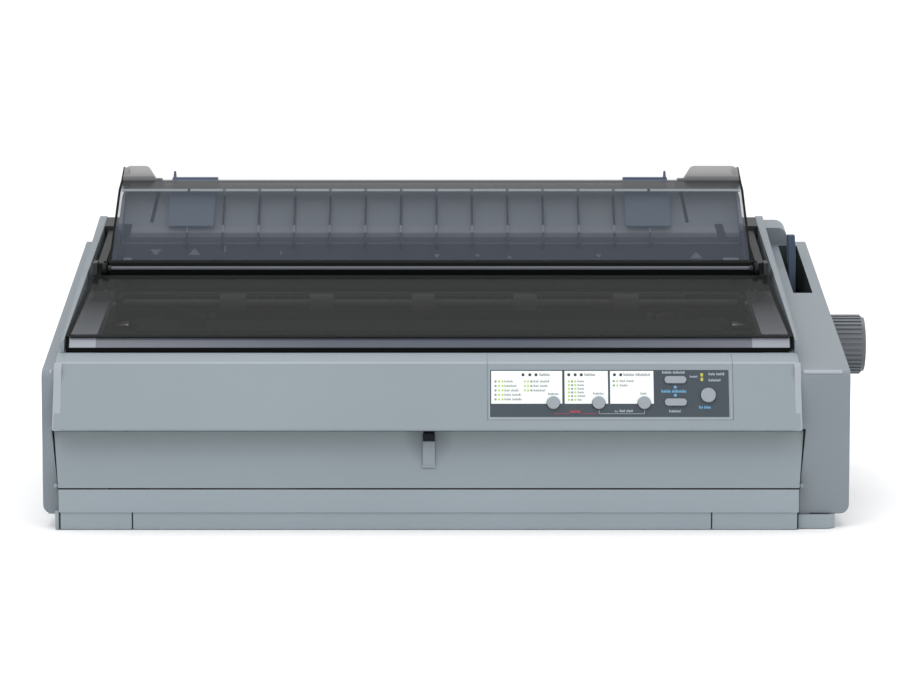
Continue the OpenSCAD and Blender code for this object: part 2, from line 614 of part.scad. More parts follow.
module release_lever() color(blue_color) {
    tube_x(282, 288, lever_axis, 9, 4 + fit);
    difference() {
        prism_x(282, 288, [[257, 116], [266, 200 - 80], [277, 168], [287, 192], [285, 199], [276, 199],
            [272, 192], [266, 168]]);
        rod_x(281, 289, lever_axis, 8);
    }
}
module thickness_lever() color(dark_color) difference() {
    union() {
        rod_x(-280.6, -274, thickness_axis, 7);
        prism_x(-279, -275, [[121, 106], [131, 106], [122, 140], [117, 140]]);
        prism_x(-279, -271, [[116.5, 137], [122.5, 137], [121, 143.5], [116.5, 143.5]]);
    }
    rod_x(-281, -273, thickness_axis, 3 + fit);
}

// ---- Carriage and ribbon ----------------------------------------------------------------
module carriage_frame() color(dark_color) difference() {
    union() {
        block(car_home - carriage_w / 2, car_home + carriage_w / 2, 128, 160, 76, 94);
        block(car_home - carriage_w / 2, car_home + carriage_w / 2, 96.4, 130, 88, 94);
        block(car_home - 16, car_home + 16, 88, 98, 100.4, 104);
        block(car_home - 16, car_home + 16, 94.4, 98, 84, 104);
        // Belt clamp that closes round the rear strand.
        block(car_home - 10, car_home + 10, 117, 130, 84.5, 90);
        block(car_home - 10, car_home + 10, 117.8, 119.6, 77, 88);
        block(car_home - 10, car_home + 10, 123, 130, 77, 88);
    }
    rod_x(car_home - carriage_w, car_home + carriage_w, car_shaft, 4 + fit);
}
module print_head() color("#2f3235") {
    block(car_home - 17, car_home + 17, 130, 160, 94, 124);
    for (i = [0:5]) block(car_home - 19, car_home + 19, 132 + i * 4.6, 134 + i * 4.6, 97, 126);
    prism_x(car_home - 7, car_home + 7, [[158, 100], [158, 122], [176.8, 120], [176.8, 112]]);
}
// The belt's upper edge is at belt_z + 14; its rear strand runs through the carriage clamp.
module timing_belt() color("#26282a") translate([0, belt_y, belt_z + 8]) linear_extrude(6) {
    for (s = [-1, 1]) translate([drive_x, s * (pulley_r + 0.9) - 0.6]) square([idle_x - drive_x, 1.2]);
    for (x = [drive_x, idle_x]) intersection() {
        translate([x, 0]) difference() {
            circle(r = pulley_r + 1.5);
            circle(r = pulley_r + 0.3);
        }
        translate([x == drive_x ? x - 40 : x, -20]) square([40, 40]);
    }
}
module pulley(x, bore) translate([x, belt_y, belt_z + 7]) difference() {
    cylinder(r = pulley_r, h = 8);
    translate([0, 0, -1]) cylinder(r = bore, h = 12);
}
module drive_pulley() color(steel_color) pulley(drive_x, 2.5 + fit);
module tension_pulley() color(steel_color) {
    pulley(idle_x, 0.1);
    translate([idle_x, belt_y, 67]) cylinder(r = 2.5, h = 18.5);
}
module ribbon_cartridge() color("#3a3d40") {
    block(centre_x - 226, centre_x + 226, 76, 150, 130.5, 141.5);
    both_sides() {
        block(214, 234, 120, 176, 128, 141.5);
        block(222, 234, 158, 179, 106, 130);
        block(frame_in - 46, frame_in, 92, 103, 132, 138);
    }
    // Inked ribbon between the arms, in front of the platen.
    block(centre_x - 224, centre_x + 224, 178.4, 178.9, 108, 121);
}
module ribbon_knob() color("#55595d") translate([-196, 112, 141.7]) difference() {
    union() {
        cylinder(r = 9, h = 2);
        cylinder(r = 6.5, h = 7);
        for (i = [0:5]) rotate(i * 60) translate([5, -1, 0]) cube([2.6, 2, 7]);
    }
    translate([0, 0, 5]) cylinder(r = 4.5, h = 3);
}

// ---- Paper tension unit -----------------------------------------------------------------
roller_xs = [[-181, -161], [-109, -90.5], [-27.5, -9], [54, 72.7], [134, 154.4]];
module tension_unit() color("#585c60") difference() {
    union() {
        prism_x(centre_x - 250, centre_x + 250, [[205, 142], [205, 157], [209, 158.5], [211, 150], [209, 142]]);
        both_sides() prism_x(246, 252, [[190, 148], [192, 155], [206, 157], [218, 152], [220, 144],
            [206, 142]]);
    }
    both_sides() {
        rod_x(240, 260, tension_axis, 3 + fit);
        rod_x(240, 260, roller_axis, 2.5 + fit);
    }
}
module tension_rollers() color("#2c2f31") {
    rod_x(centre_x - 252, centre_x + 252, roller_axis, 2.5);
    for (r = roller_xs) rod_x(r[0], r[1], roller_axis, 7);
}

// ---- Tractors ---------------------------------------------------------------------------
module tractor_guide_shaft() color(steel_color)
    rod_x(centre_x - frame_out - 1, centre_x + frame_out + 1, tractor_rod, 3);
module tractor_drive() color(steel_color)
    rod_x(centre_x - frame_out - 1, centre_x + frame_out + 1, tractor_axis, 4);
tractor_left_x = -222;
tractor_right_x = 171;
module tractor(x0) color(dark_color) difference() {
    union() {
        for (x = [x0, x0 + tractor_w - 4]) prism_x(x, x + 4, [[298, 106], [298, 128], [304, 134],
            [346, 134], [356, 128], [356, 110], [350, 106]]);
        block(x0, x0 + tractor_w, 336, 356, 106, 111);
        block(x0, x0 + tractor_w, 298, 302, 104, 118);
    }
    rod_x(x0 - 1, x0 + tractor_w + 1, tractor_axis, 4 + fit);
    rod_x(x0 - 1, x0 + tractor_w + 1, tractor_rod, 3 + fit);
}
module tractor_left() tractor(tractor_left_x);
module tractor_right() tractor(tractor_right_x);
module sprocket(x0) color("#c9ccce") difference() {
    union() {
        rod_x(x0 + 4.4, x0 + tractor_w - 4.4, tractor_axis, 12);
        for (i = [0:7]) translate([x0 + tractor_w / 2, tractor_axis[0], tractor_axis[1]])
            rotate([i * 45, 0, 0]) translate([0, 0, 10]) cylinder(r = 1.5, h = 4.4, $fn = 24);
    }
    rod_x(x0, x0 + tractor_w, tractor_axis, 4 + fit);
}
module sprocket_left() sprocket(tractor_left_x);
module sprocket_right() sprocket(tractor_right_x);
// Door over the pins; its hinge line is on the tractor's outer top edge.
module tractor_door(x0, outer) color(dark_color) {
    difference() {
        block(x0 + 1, x0 + tractor_w - 1, 303, 346, 135, 138);
        block(x0 + tractor_w / 2 - 3, x0 + tractor_w / 2 + 3, 300, 336, 134, 139);
    }
    translate([outer, 303, 136.5]) rotate([-90, 0, 0]) cylinder(r = 1.5, h = 43, $fn = 24);
}
module tractor_door_left() tractor_door(tractor_left_x, tractor_left_x + 1);
module tractor_door_right() tractor_door(tractor_right_x, tractor_right_x + tractor_w - 1);

// ---- Electrics --------------------------------------------------------------------------
module power_rocker() color("#1e2022") {
    prism_x(-half_w + 0.8, -half_w + 6, [[rocker[0] - 10.4, rocker[1] - 6.4], [rocker[0] + 10.4, rocker[1] - 6.4],
        [rocker[0] + 10.4, rocker[1] + 6.4], [rocker[0] - 10.4, rocker[1] + 6.4]]);
    translate([rocker_x, rocker[0], rocker[1] - 8.6]) cylinder(r = 1.5, h = 17.2, $fn = 24);
}
module power_supply() color("#b08a4a") {
    block(-276, -150, 200, 380, board_z, board_z + 3);
    block(-264, -180, 220, 330, board_z + 3, 44);
}
module main_board() color("#2f6a45") {
    block(-120, 240, 120, 380, board_z, 15.6);
    block(-60, 0, 180, 240, 15.6, 19);
    block(40, 70, 200, 230, 15.6, 18.5);
    for (i = [0:5]) translate([110 + i * 18, 170, 15.6]) cylinder(r = 6, h = 16);
}
module ac_inlet() color("#1e2022") difference() {
    union() {
        block(-263.7, -236.3, 380, case_d - 0.3, 30.3, 49.7);
        block(-260, -240, 372, 382, 17, 46);
    }
    block(-261, -239, case_d - 16, case_d + 1, 33, 47);
}
module data_ports() color("#a7abae") difference() {
    union() {
        block(158.3, 221.7, 374, case_d - 0.3, 30.3, 47.7);
        block(233.3, 246.7, 374, case_d - 0.3, 32.3, 45.7);
        block(160, 239.9, 374, 380, 15.6, 34);
    }
    block(163, 217, case_d - 8, case_d + 1, 33.5, 44.5);
    block(235.5, 244.5, case_d - 12, case_d + 1, 34.5, 43.5);
}
module slot_cover() color(case_color) {
    block(20.3, 129.7, case_d - 5, case_d - 0.4, 28.3, 51.7);
    block(14, 136, case_d - 5.2, case_d - wall, 24, 56);
}

to_row() {
    lower_case();
    upper_case();
    panel_bezel();
    panel_label();
    panel_board();
    rubber_feet();
    front_cover();
    front_latch();
    printer_cover();
    guide_cover();
    paper_guide();
    edge_guide_left();
    edge_guide_right();
    hinge_bracket_left();
    hinge_bracket_right();
    release_lever();
    platen_shaft();
    platen_roller();
    platen_gear();
    platen_knob();
    idler_gear();
    feed_pinion();
    feed_motor();
    rear_panel();
    side_frame_left();
    side_frame_right();
    carriage_shaft();
    carriage_rail();
    carriage_frame();
    print_head();
    timing_belt();
    drive_pulley();
    tension_pulley();
    carriage_motor();
    ribbon_cartridge();
    ribbon_knob();
    tension_unit();
    tension_rollers();
    thickness_lever();
    paper_chute();
    tractor_guide_shaft();
    tractor_drive();
    tractor_left();
    tractor_right();
    sprocket_left();
    sprocket_right();
    tractor_door_left();
    tractor_door_right();
    button_font();
    button_pitch();
    button_tear();
    button_load();
    button_feed();
    button_pause();
    power_rocker();
    power_supply();
    main_board();
    ac_inlet();
    data_ports();
    slot_cover();
}
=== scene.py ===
import math

import bmesh
import bpy
from bpy.props import FloatProperty, FloatVectorProperty, PointerProperty
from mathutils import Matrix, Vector


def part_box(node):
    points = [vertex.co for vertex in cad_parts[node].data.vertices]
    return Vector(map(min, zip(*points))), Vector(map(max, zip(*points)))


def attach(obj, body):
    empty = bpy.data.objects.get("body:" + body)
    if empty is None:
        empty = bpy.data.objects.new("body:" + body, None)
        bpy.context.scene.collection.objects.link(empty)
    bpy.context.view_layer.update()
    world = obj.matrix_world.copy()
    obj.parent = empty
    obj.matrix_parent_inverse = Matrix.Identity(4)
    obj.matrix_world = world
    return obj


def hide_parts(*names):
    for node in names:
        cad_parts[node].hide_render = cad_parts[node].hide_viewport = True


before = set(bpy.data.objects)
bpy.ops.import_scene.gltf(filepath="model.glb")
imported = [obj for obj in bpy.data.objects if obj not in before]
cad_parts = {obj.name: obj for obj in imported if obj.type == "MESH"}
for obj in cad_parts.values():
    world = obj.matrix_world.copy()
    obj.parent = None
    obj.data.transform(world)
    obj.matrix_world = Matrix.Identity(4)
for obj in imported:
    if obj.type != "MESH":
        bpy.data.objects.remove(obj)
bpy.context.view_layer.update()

bl_info = {
    "name": "Wide Dot Matrix Printer",
    "version": (1, 0, 0),
    "blender": (4, 5, 0),
    "location": "View3D > Sidebar > Printer",
    "description": "Dresses the printer's frame with its case, covers, guides, panel and mechanism",
    "category": "Add Mesh",
}

# ---- Measures ---------------------------------------------------------------------------------
# Places are written in millimetres from the case's own datum: X from the middle of the case,
# Y from the front edge of the fascia and Z from the case's base line. place() turns them into
# metres.
MM = 0.001
CASE_LO, CASE_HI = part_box("upper_case")
TABLE_Z = -1.8
DATUM = Vector(((CASE_LO.x + CASE_HI.x) / 2, CASE_LO.y, -TABLE_Z * MM))
HALF_W = (CASE_HI.x - CASE_LO.x) / 2 / MM
# The covers and the paper guide share a middle line; the latch and the bay have their own places.
CENTRE_X, LATCH_X = -12.5, -12.9
BAY_L, BAY_R = -293.3, 265.1
LIP_HALF = 272.4
# The slopes, as (y, z) at the foot and the head, or an angle from level.
FASCIA_LOW, FASCIA_TOP = (0.0, 74.1), (20.0, 122.9)
FASCIA_TILT = math.atan2(FASCIA_TOP[1] - FASCIA_LOW[1], FASCIA_TOP[0])
DECK_FRONT, DECK_SLOPE = (15.0, 116.7), math.radians(12.4)
GUIDE_FOOT, GUIDE_HEAD = (228.0, 160.0), (319.0, 237.5)
GUIDE_SLOPE = math.atan2(GUIDE_HEAD[1] - GUIDE_FOOT[1], GUIDE_HEAD[0] - GUIDE_FOOT[0])
GUIDE_RUN = 121.0
RIB_PITCH, FIRST_RIB = 29.3, -213.0
# The camera's place, its angle below level, its lens, and its shift in a picture 900 wide.
CAMERA_SPOT, CAMERA_DIP = (0, -2458.6, 415.1), 6.5
CAMERA_LENS, CAMERA_SHIFT, PICTURE_WIDTH = 132.9, 4, 900
# Edges sharper than these many degrees are rounded, on skins of CAD nodes and on drawn-out pieces.
SKIN_EDGE, PRISM_EDGE = 28.0, 40.0
SMOOTH_ANGLE, REPAINT_ANGLE = math.radians(38), math.radians(30)


def place(x, y, z):
    return DATUM + Vector((x, y, z)) * MM


def on_fascia(x, v, t=0.0):
    """A point v mm up the fascia and t mm out of it."""
    c, s = math.cos(FASCIA_TILT), math.sin(FASCIA_TILT)
    return place(x, v * c - t * s, FASCIA_LOW[1] + v * s + t * c)


def on_deck(x, s, t=0.0):
    """A point s mm up the deck's slope and t mm square to it."""
    c, k = math.cos(DECK_SLOPE), math.sin(DECK_SLOPE)
    return place(x, DECK_FRONT[0] + s * c - t * k, DECK_FRONT[1] + s * k + t * c)


# ---- Shader maths -----------------------------------------------------------------------------
class Val:
    """A number in a node tree. Arithmetic on it adds Math nodes."""

    def __init__(self, paint, socket):
        self.paint, self.socket = paint, socket

    def _math(self, op, a, b=0.0, clamp=False):
        settings = {"operation": op, "use_clamp": clamp}
        return Val(self.paint, self.paint.node("ShaderNodeMath", settings, [a, b]))

    def __add__(self, o): return self._math("ADD", self, o)
    def __radd__(self, o): return self._math("ADD", o, self)
    def __sub__(self, o): return self._math("SUBTRACT", self, o)
    def __rsub__(self, o): return self._math("SUBTRACT", o, self)
    def __mul__(self, o): return self._math("MULTIPLY", self, o)
    def __rmul__(self, o): return self._math("MULTIPLY", o, self)
    def __truediv__(self, o): return self._math("DIVIDE", self, o)
    def __lt__(self, o): return self._math("LESS_THAN", self, o)
    def __mod__(self, o): return self._math("FLOORED_MODULO", self, o)
    def __abs__(self): return self._math("ABSOLUTE", self)
    def clamp(self): return self._math("ADD", self, 0.0, True)


class Tree:
    """A node tree, with one way to add a node and one way to fill a socket."""

    def __init__(self, tree):
        self.tree = tree

    def node(self, kind, settings=None, inputs=None, out=0):
        """Adds a node, sets it up, and fills its sockets with values or links."""
        n = self.tree.nodes.new(kind)
        for key, value in (settings or {}).items():
            if key == "stops":
                ramp = n.color_ramp
                while len(ramp.elements) < len(value):
                    ramp.elements.new(1.0)
                for element, (where, colour) in zip(ramp.elements, value):
                    element.position, element.color = where, (*colour, 1.0)
            else:
                setattr(n, key, value)
        pairs = inputs.items() if isinstance(inputs, dict) else enumerate(inputs or [])
        for key, value in pairs:
            self.feed(n.inputs[key], value)
        return n.outputs[out]

    def feed(self, socket, value):
        if isinstance(value, Val):
            value = value.socket
        if isinstance(value, bpy.types.NodeSocket):
            self.tree.links.new(value, socket)
        else:
            socket.default_value = value


class Paint(Tree):
    """One material and its node tree."""

    def __init__(self, name, **shader):
        self.material = bpy.data.materials.new(name)
        self.material.use_nodes = True
        super().__init__(self.material.node_tree)
        self.shader = self.tree.nodes["Principled BSDF"]
        for key, value in shader.items():
            self.shader.inputs[key.replace("_", " ")].default_value = value
        self.coords = None

    def here(self):
        if self.coords is None:
            self.coords = self.node("ShaderNodeTexCoord", out=3)
        return self.coords

    def axis(self, index):
        return Val(self, self.node("ShaderNodeSeparateXYZ", None, [self.here()], out=index))

    def noise(self, scale, detail=2.0, rough=0.5, stretch=None):
        where = self.here()
        if stretch:
            where = self.node("ShaderNodeMapping", None, {"Vector": where, "Scale": stretch})
        return Val(self, self.node("ShaderNodeTexNoise", None,
                   {"Vector": where, "Scale": scale, "Detail": detail, "Roughness": rough}))

    def ramp(self, value, stops):
        return self.node("ShaderNodeValToRGB", {"stops": stops}, [value])

    def mix(self, factor, a, b):
        return self.node("ShaderNodeMix", {"data_type": "RGBA"}, {0: factor, 6: a, 7: b}, out=2)

    def bump(self, height, strength=0.3, distance=0.0002):
        self.feed(self.shader.inputs["Normal"], self.node("ShaderNodeBump", None,
                  {"Height": height, "Strength": strength, "Distance": distance}))

    def set(self, **values):
        for key, value in values.items():
            self.feed(self.shader.inputs[key.replace("_", " ")], value)


class Graph(Tree):
    """A geometry node group with named inputs that ends in Realize Instances and Set Material."""

    def __init__(self, name, **sockets):
        super().__init__(bpy.data.node_groups.new(name, "GeometryNodeTree"))
        self.keys = {}
        self._socket("Geometry", "INPUT", "Geometry")
        for label, (kind, value) in sockets.items():
            item = self._socket(label, "INPUT", kind)
            if value is not None:
                item.default_value = value
            self.keys[label] = item.identifier
        self._socket("Geometry", "OUTPUT", "Geometry")
        self.given = self.tree.nodes.new("NodeGroupInput").outputs
        self.result = self.tree.nodes.new("NodeGroupOutput").inputs[0]

    def _socket(self, label, side, kind):
        return self.tree.interface.new_socket(label, in_out=side, socket_type="NodeSocket" + kind)

    def value(self, label):
        return Val(self, self.given[label])

    def finish(self, geometry):
        real = self.node("GeometryNodeRealizeInstances", None, [geometry])
        self.feed(self.result, self.node("GeometryNodeSetMaterial", None,
                                         {"Geometry": real, "Material": self.given["Material"]}))

    def apply(self, o, **values):
        """Runs the group on an object and leaves a plain mesh."""
        mod = o.modifiers.new(self.tree.name, "NODES")
        mod.node_group = self.tree
        for label, value in values.items():
            mod[self.keys[label]] = value
        return evaluated(o)


def grid_graph():
    """Copies the object's own mesh over a grid."""
    g = Graph("grid_of_copies", Start=("Vector", None), CountU=("Int", 1), StepU=("Vector", None),
              CountV=("Int", 1), StepV=("Vector", None), Material=("Material", None))
    index = Val(g, g.node("GeometryNodeInputIndex"))
    row = Val(g, g.node("ShaderNodeMath", {"operation": "FLOOR"}, [index / g.value("CountU")]))
    column = index - row * g.value("CountU")

    def vector(operation, inputs):
        return g.node("ShaderNodeVectorMath", {"operation": operation}, inputs)

    def along(label, factor):
        return vector("SCALE", {0: g.given[label], "Scale": factor})
    step = vector("ADD", [along("StepU", column), along("StepV", row)])
    points = g.node("GeometryNodePoints", None,
                    {"Count": g.value("CountU") * g.value("CountV"),
                     "Position": vector("ADD", [step, g.given["Start"]])})
    g.finish(g.node("GeometryNodeInstanceOnPoints", None,
                    {"Points": points, "Instance": g.given["Geometry"]}))
    return g


def spot_graph():
    """Puts a copy of a template at each vertex, stretched by the vertex's size."""
    g = Graph("copies_at_spots", Template=("Object", None), Material=("Material", None))
    template = g.node("GeometryNodeObjectInfo", None, {"Object": g.given["Template"]}, out="Geometry")
    size = g.node("GeometryNodeInputNamedAttribute", {"data_type": "FLOAT_VECTOR"}, {"Name": "size"})
    points = g.node("GeometryNodeMeshToPoints", None, {"Mesh": g.given["Geometry"]})
    g.finish(g.node("GeometryNodeInstanceOnPoints", None,
                    {"Points": points, "Instance": template, "Scale": size}))
    return g


def rgb(r, g, b):
    """A colour given as it is seen, from 0 to 255, as linear light."""
    def lin(c):
        c /= 255
        return c / 12.92 if c <= 0.04045 else ((c + 0.055) / 1.055) ** 2.4
    return (lin(r), lin(g), lin(b))


def shade(colour, k):
    return tuple(min(1.0, c * k) for c in colour)


def moulded(name, colour, rough=0.42, grain=2600.0, depth=0.16, spread=0.05, gloss=0.5):
    """Moulded plastic: a fine spark-eroded grain, slight mottling and a worn sheen."""
    p = Paint(name, Specular_IOR_Level=gloss)
    cloud = p.noise(9.0, 3.0)
    fine = p.noise(grain, 2.0, 0.6)
    p.set(Base_Color=p.mix(cloud, (*shade(colour, 1 - spread), 1), (*shade(colour, 1 + spread), 1)))
    p.set(Roughness=cloud * 0.08 + (rough - 0.04) + fine * 0.04)
    p.bump(fine, depth, 0.00012)
    return p.material


def door_plastic(name, colour):
    """Case plastic with painted light and shade: lighter along the door's top against the shade under
    the fascia, and a soft painted shadow of a dimple round the latch.
    """
    p = Paint(name)
    # Painted shade of a shallow dimple round the latch.
    hub, hollow_shade_wide, hollow_shade_high = place(LATCH_X, 0, 68), 19 * MM, 23 * MM
    across, up = (p.axis(0) - hub.x) / hollow_shade_wide, (p.axis(2) - hub.z) / hollow_shade_high
    hollow_shade = (1.0 - (across * across + up * up)).clamp()
    cloud = p.noise(9.0, 3.0)
    plain = p.mix(cloud, (*shade(colour, 0.95), 1), (*shade(colour, 1.05), 1))
    # Painted light along the door's top.
    top_from, top_fade = place(0, 0, 57).z, 14 * MM
    top = ((p.axis(2) - top_from) / top_fade).clamp()
    lit = p.mix(top * 0.9, plain, (*rgb(148, 158, 160), 1))
    p.set(Base_Color=p.mix(hollow_shade * 0.55, lit, (*shade(colour, 0.42), 1)), Roughness=cloud * 0.08 + 0.4)
    p.bump(p.noise(2600.0, 2.0, 0.6), 0.16, 0.00012)
    return p.material


def ear_plastic(name, low, high):
    """Pale plastic with painted shade that darkens it towards the foot of the ear."""
    p = Paint(name)
    foot, top = place(0, 0, 236).z, place(0, 0, 253).z
    rise = ((p.axis(2) - foot) / (top - foot)).clamp()
    p.set(Base_Color=p.ramp(rise, ((0.0, low), (0.35, low), (0.75, high), (1.0, shade(high, 1.1)))))
    p.set(Roughness=p.noise(9.0) * 0.08 + 0.45)
    return p.material


def guide_plastic(name, stops):
    """Plastic with painted light and shade that follow the guide's slope, from its shaded dark foot to
    its lit face.
    """
    p = Paint(name, Specular_IOR_Level=0.2)
    c, k = math.cos(GUIDE_SLOPE), math.sin(GUIDE_SLOPE)
    foot = place(0, *GUIDE_FOOT)
    run = ((p.axis(1) - foot.y) * c + (p.axis(2) - foot.z) * k) / (GUIDE_RUN * MM)
    cloud = p.noise(7.0, 2.0)
    lit = p.ramp(run, stops)
    p.set(Base_Color=p.mix(cloud * 0.12, lit, (*stops[0][1], 1)), Roughness=cloud * 0.08 + 0.5)
    return p.material


def lip_plastic(name, middle, ends):
    """Smoked plastic of the cover's lip, painted lighter as a reflection, bluer at the middle than
    towards its ends.
    """
    p = Paint(name, Roughness=0.22, Specular_IOR_Level=0.4)
    fade = 255 * MM
    off = abs(p.axis(0) - place(CENTRE_X, 0, 0).x) / fade
    p.set(Base_Color=p.ramp(off, ((0.0, middle), (0.3, middle), (1.0, ends))),
          Roughness=p.noise(40.0) * 0.06 + 0.2)
    return p.material


def veil(name, colour):
    """A pale reflection on the ends of the front cover that fades out up the sheet."""
    p = Paint(name, Roughness=0.3, Specular_IOR_Level=0.05)
    near, far = place(0, 44, 0).y, place(0, 128, 0).y
    p.set(Base_Color=p.mix(p.noise(20.0), (*colour, 1), (*shade(colour, 1.1), 1)),
          Alpha=((far - p.axis(1)) / (far - near)).clamp() * 0.6)
    return p.material


def smoked(name, colour, alpha, rough, gloss):
    """Smoked clear plastic: dark, glossy and partly see-through."""
    p = Paint(name, Roughness=rough, IOR=1.5, Specular_IOR_Level=gloss)
    cloud = p.noise(14.0, 2.0)
    p.set(Base_Color=p.mix(cloud, (*shade(colour, 0.94), 1), (*shade(colour, 1.06), 1)))
    p.set(Alpha=cloud * 0.02 + (alpha - 0.01), Roughness=p.noise(60.0) * 0.05 + rough)
    return p.material


def metal(name, colour, rough=0.3, stretch=(1.0, 40.0, 40.0), spread=0.12):
    """Plated or rolled steel with fine lines along the sheet or shaft."""
    p = Paint(name, Metallic=1.0)
    lines = p.noise(160.0, 3.0, 0.6, stretch)
    p.set(Base_Color=p.mix(lines, (*shade(colour, 1 - spread), 1), (*shade(colour, 1 + spread), 1)))
    p.set(Roughness=lines * 0.15 + (rough - 0.06))
    p.bump(lines, 0.1, 0.0001)
    return p.material


def rubber(name, colour, rough=0.75):
    p = Paint(name)
    fine = p.noise(1900.0, 3.0, 0.7)
    p.set(Base_Color=p.mix(p.noise(30.0), (*shade(colour, 0.85), 1), (*shade(colour, 1.2), 1)))
    p.set(Roughness=fine * 0.12 + (rough - 0.06))
    p.bump(fine, 0.25, 0.00015)
    return p.material


def board(name, colour):
    """Circuit board: solder mask over faint tracks."""
    p = Paint(name, Coat_Weight=0.4)
    tracks = Val(p, p.node("ShaderNodeTexVoronoi", {"feature": "F1", "distance": "MANHATTAN"},
                           {"Vector": p.here(), "Scale": 130.0}))
    grid = (p.axis(0) * 400.0 % 1.0) < 0.25
    p.set(Base_Color=p.mix((tracks < 0.3) * grid, (*colour, 1), (*shade(colour, 1.9), 1)))
    p.set(Roughness=tracks * 0.2 + 0.3)
    return p.material


def ink(name, colour, rough=0.45):
    p = Paint(name)
    cloud = p.noise(300.0)
    p.set(Base_Color=p.mix(cloud, (*shade(colour, 0.96), 1), (*shade(colour, 1.03), 1)))
    p.set(Roughness=cloud * 0.06 + rough)
    return p.material


PAINTS = {}


def mix_paints(s):
    """Makes every finish from the user's colours."""
    case = tuple(s.case_colour)
    PAINTS.update({
        "case": moulded("case_plastic", case),
        "case_lit_copy": moulded("case_base_plastic", shade(case, 1.14)),
        "case_highlight": moulded("case_edge_plastic", rgb(148, 155, 162)),
        "case_shaded_copy": moulded("case_side_plastic", shade(case, 0.8)),
        "door": door_plastic("door_plastic", case),
        "seam_and_shade": moulded("seam_shadow", rgb(40, 44, 48), 0.8, gloss=0.05),
        "slot": moulded("slot_shadow", rgb(52, 60, 60), 0.8, gloss=0.05),
        # The guide's colours paint shade on its foot under the cover and a lit band where its ledge
        # catches the light.
        "guide": guide_plastic("guide_plastic", (
            (0.0, rgb(22, 24, 28)), (0.405, rgb(36, 40, 46)), (0.42, rgb(99, 104, 114)),
            (0.48, rgb(108, 113, 122)), (0.495, rgb(158, 163, 171)), (0.545, rgb(158, 163, 171)),
            (0.555, rgb(150, 157, 163)), (1.0, rgb(150, 154, 157)))),
        "edge_face": moulded("edge_guide_face", rgb(116, 129, 144), 0.5, gloss=0.2),
        "rib": moulded("guide_rib_plastic", rgb(26, 28, 31), 0.6, depth=0.0),
        "rib_tip_highlight": moulded("guide_rib_tip", rgb(170, 175, 182), 0.5, depth=0.0),
        "guide_mark": moulded("guide_mark", rgb(104, 111, 120), 0.5, depth=0.0),
        "guide_pad": moulded("guide_pad", rgb(146, 151, 160), 0.5, depth=0.0),
        "ear": ear_plastic("ear_plastic", rgb(96, 98, 101), rgb(142, 142, 142)),
        "smoke": smoked("smoked_cover", tuple(s.smoke_colour), s.smoke_alpha, 0.1, 0.012),
        "smoke_lip": lip_plastic("smoked_lip", rgb(74, 80, 92), rgb(102, 104, 113)),
        "veil": veil("cover_end_veil", rgb(92, 95, 100)),
        "lip_end": smoked("smoked_lip_end", rgb(143, 147, 156), 0.97, 0.2, 0.4),
        "smoke_guide": smoked("smoked_guide_cover", rgb(74, 80, 90), 0.5, 0.12, 0.03),
        "smoke_flange": smoked("smoked_flange", rgb(50, 52, 54), 0.9, 0.2, 0.1),
        "clear": smoked("clear_underside", rgb(60, 62, 66), 0.04, 0.3, 0.0),
        "crease": smoked("crease_light", rgb(116, 120, 127), 0.97, 0.3, 0.1),
        "hinge_bar": smoked("hinge_bar", rgb(92, 96, 104), 0.97, 0.3, 0.2),
        "dark": moulded("dark_plastic", rgb(62, 65, 66), 0.45),
        "bracket": moulded("bracket_plastic", rgb(44, 46, 46), 0.5, gloss=0.2),
        "crossbar": moulded("crossbar_plastic", rgb(60, 63, 65), 0.5, gloss=0.2),
        "shadow_band": moulded("skirt_plastic", rgb(5, 6, 6), 0.8, depth=0.0, gloss=0.02),
        "black": moulded("black_plastic", rgb(12, 13, 14), 0.6, depth=0.05, gloss=0.06),
        "knob": moulded("knob_plastic", rgb(96, 101, 106), 0.36),
        "lever": moulded("lever_plastic", rgb(46, 62, 82), 0.4, gloss=0.3),
        "blue": moulded("blue_plastic", tuple(s.blue_colour), 0.35),
        "label": ink("label_film", rgb(47, 58, 68), 0.4),
        "white_ink": ink("white_ink", rgb(226, 233, 231)),
        "green_ink": ink("green_ink", rgb(170, 196, 104)),
        "grey_ink": ink("grey_ink", rgb(136, 141, 144)),
        "pale_ink": ink("pale_ink", rgb(148, 156, 163)),
        "red_ink": ink("red_ink", rgb(152, 58, 68)),
        "blue_ink": ink("blue_ink", rgb(92, 150, 186)),
        "yellow_ink": ink("yellow_ink", rgb(176, 170, 74)),
        "lamp": ink("dark_lamp", rgb(46, 54, 56), 0.2),
        "key": moulded("key_plastic", rgb(138, 144, 151), 0.32, spread=0.03, depth=0.06),
        "steel": metal("plated_steel", (0.55, 0.56, 0.57)),
        "shaft": metal("ground_shaft", (0.62, 0.62, 0.61), 0.18, (1.0, 1.0, 1.0)),
        "rubber": rubber("platen_rubber", rgb(38, 39, 41)),
        "roller": rubber("roller_rubber", rgb(160, 161, 160), 0.6),
        "belt": rubber("belt_rubber", rgb(26, 27, 28)),
        "motor": metal("motor_shell", (0.05, 0.05, 0.055), 0.4),
        "gear": moulded("white_gear", rgb(226, 224, 214), 0.38, spread=0.03),
        "brass": metal("brass", (0.55, 0.42, 0.18), 0.28),
        "board": board("circuit_board", rgb(36, 104, 66)),
    })


# ---- Mesh making ------------------------------------------------------------------------------
GRAPHS = {}


def raw(name, bm):
    """A bare object from a bmesh, with its normals outwards."""
    bmesh.ops.recalc_face_normals(bm, faces=bm.faces)
    mesh = bpy.data.meshes.new(name)
    bm.to_mesh(mesh)
    bm.free()
    o = bpy.data.objects.new(name, mesh)
    bpy.context.scene.collection.objects.link(o)
    return o


def claim(o, paint, body, nodes=()):
    """Gives a finished mesh its paint and ties it to its body and to the nodes it stands for."""
    if paint:
        o.data.materials.clear()
        o.data.materials.append(PAINTS[paint])
    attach(o, body)
    if nodes:
        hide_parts(*nodes)
    return o


def shade_smooth(mesh, angle=SMOOTH_ANGLE):
    mesh.shade_smooth()
    mesh.set_sharp_from_angle(angle=angle)


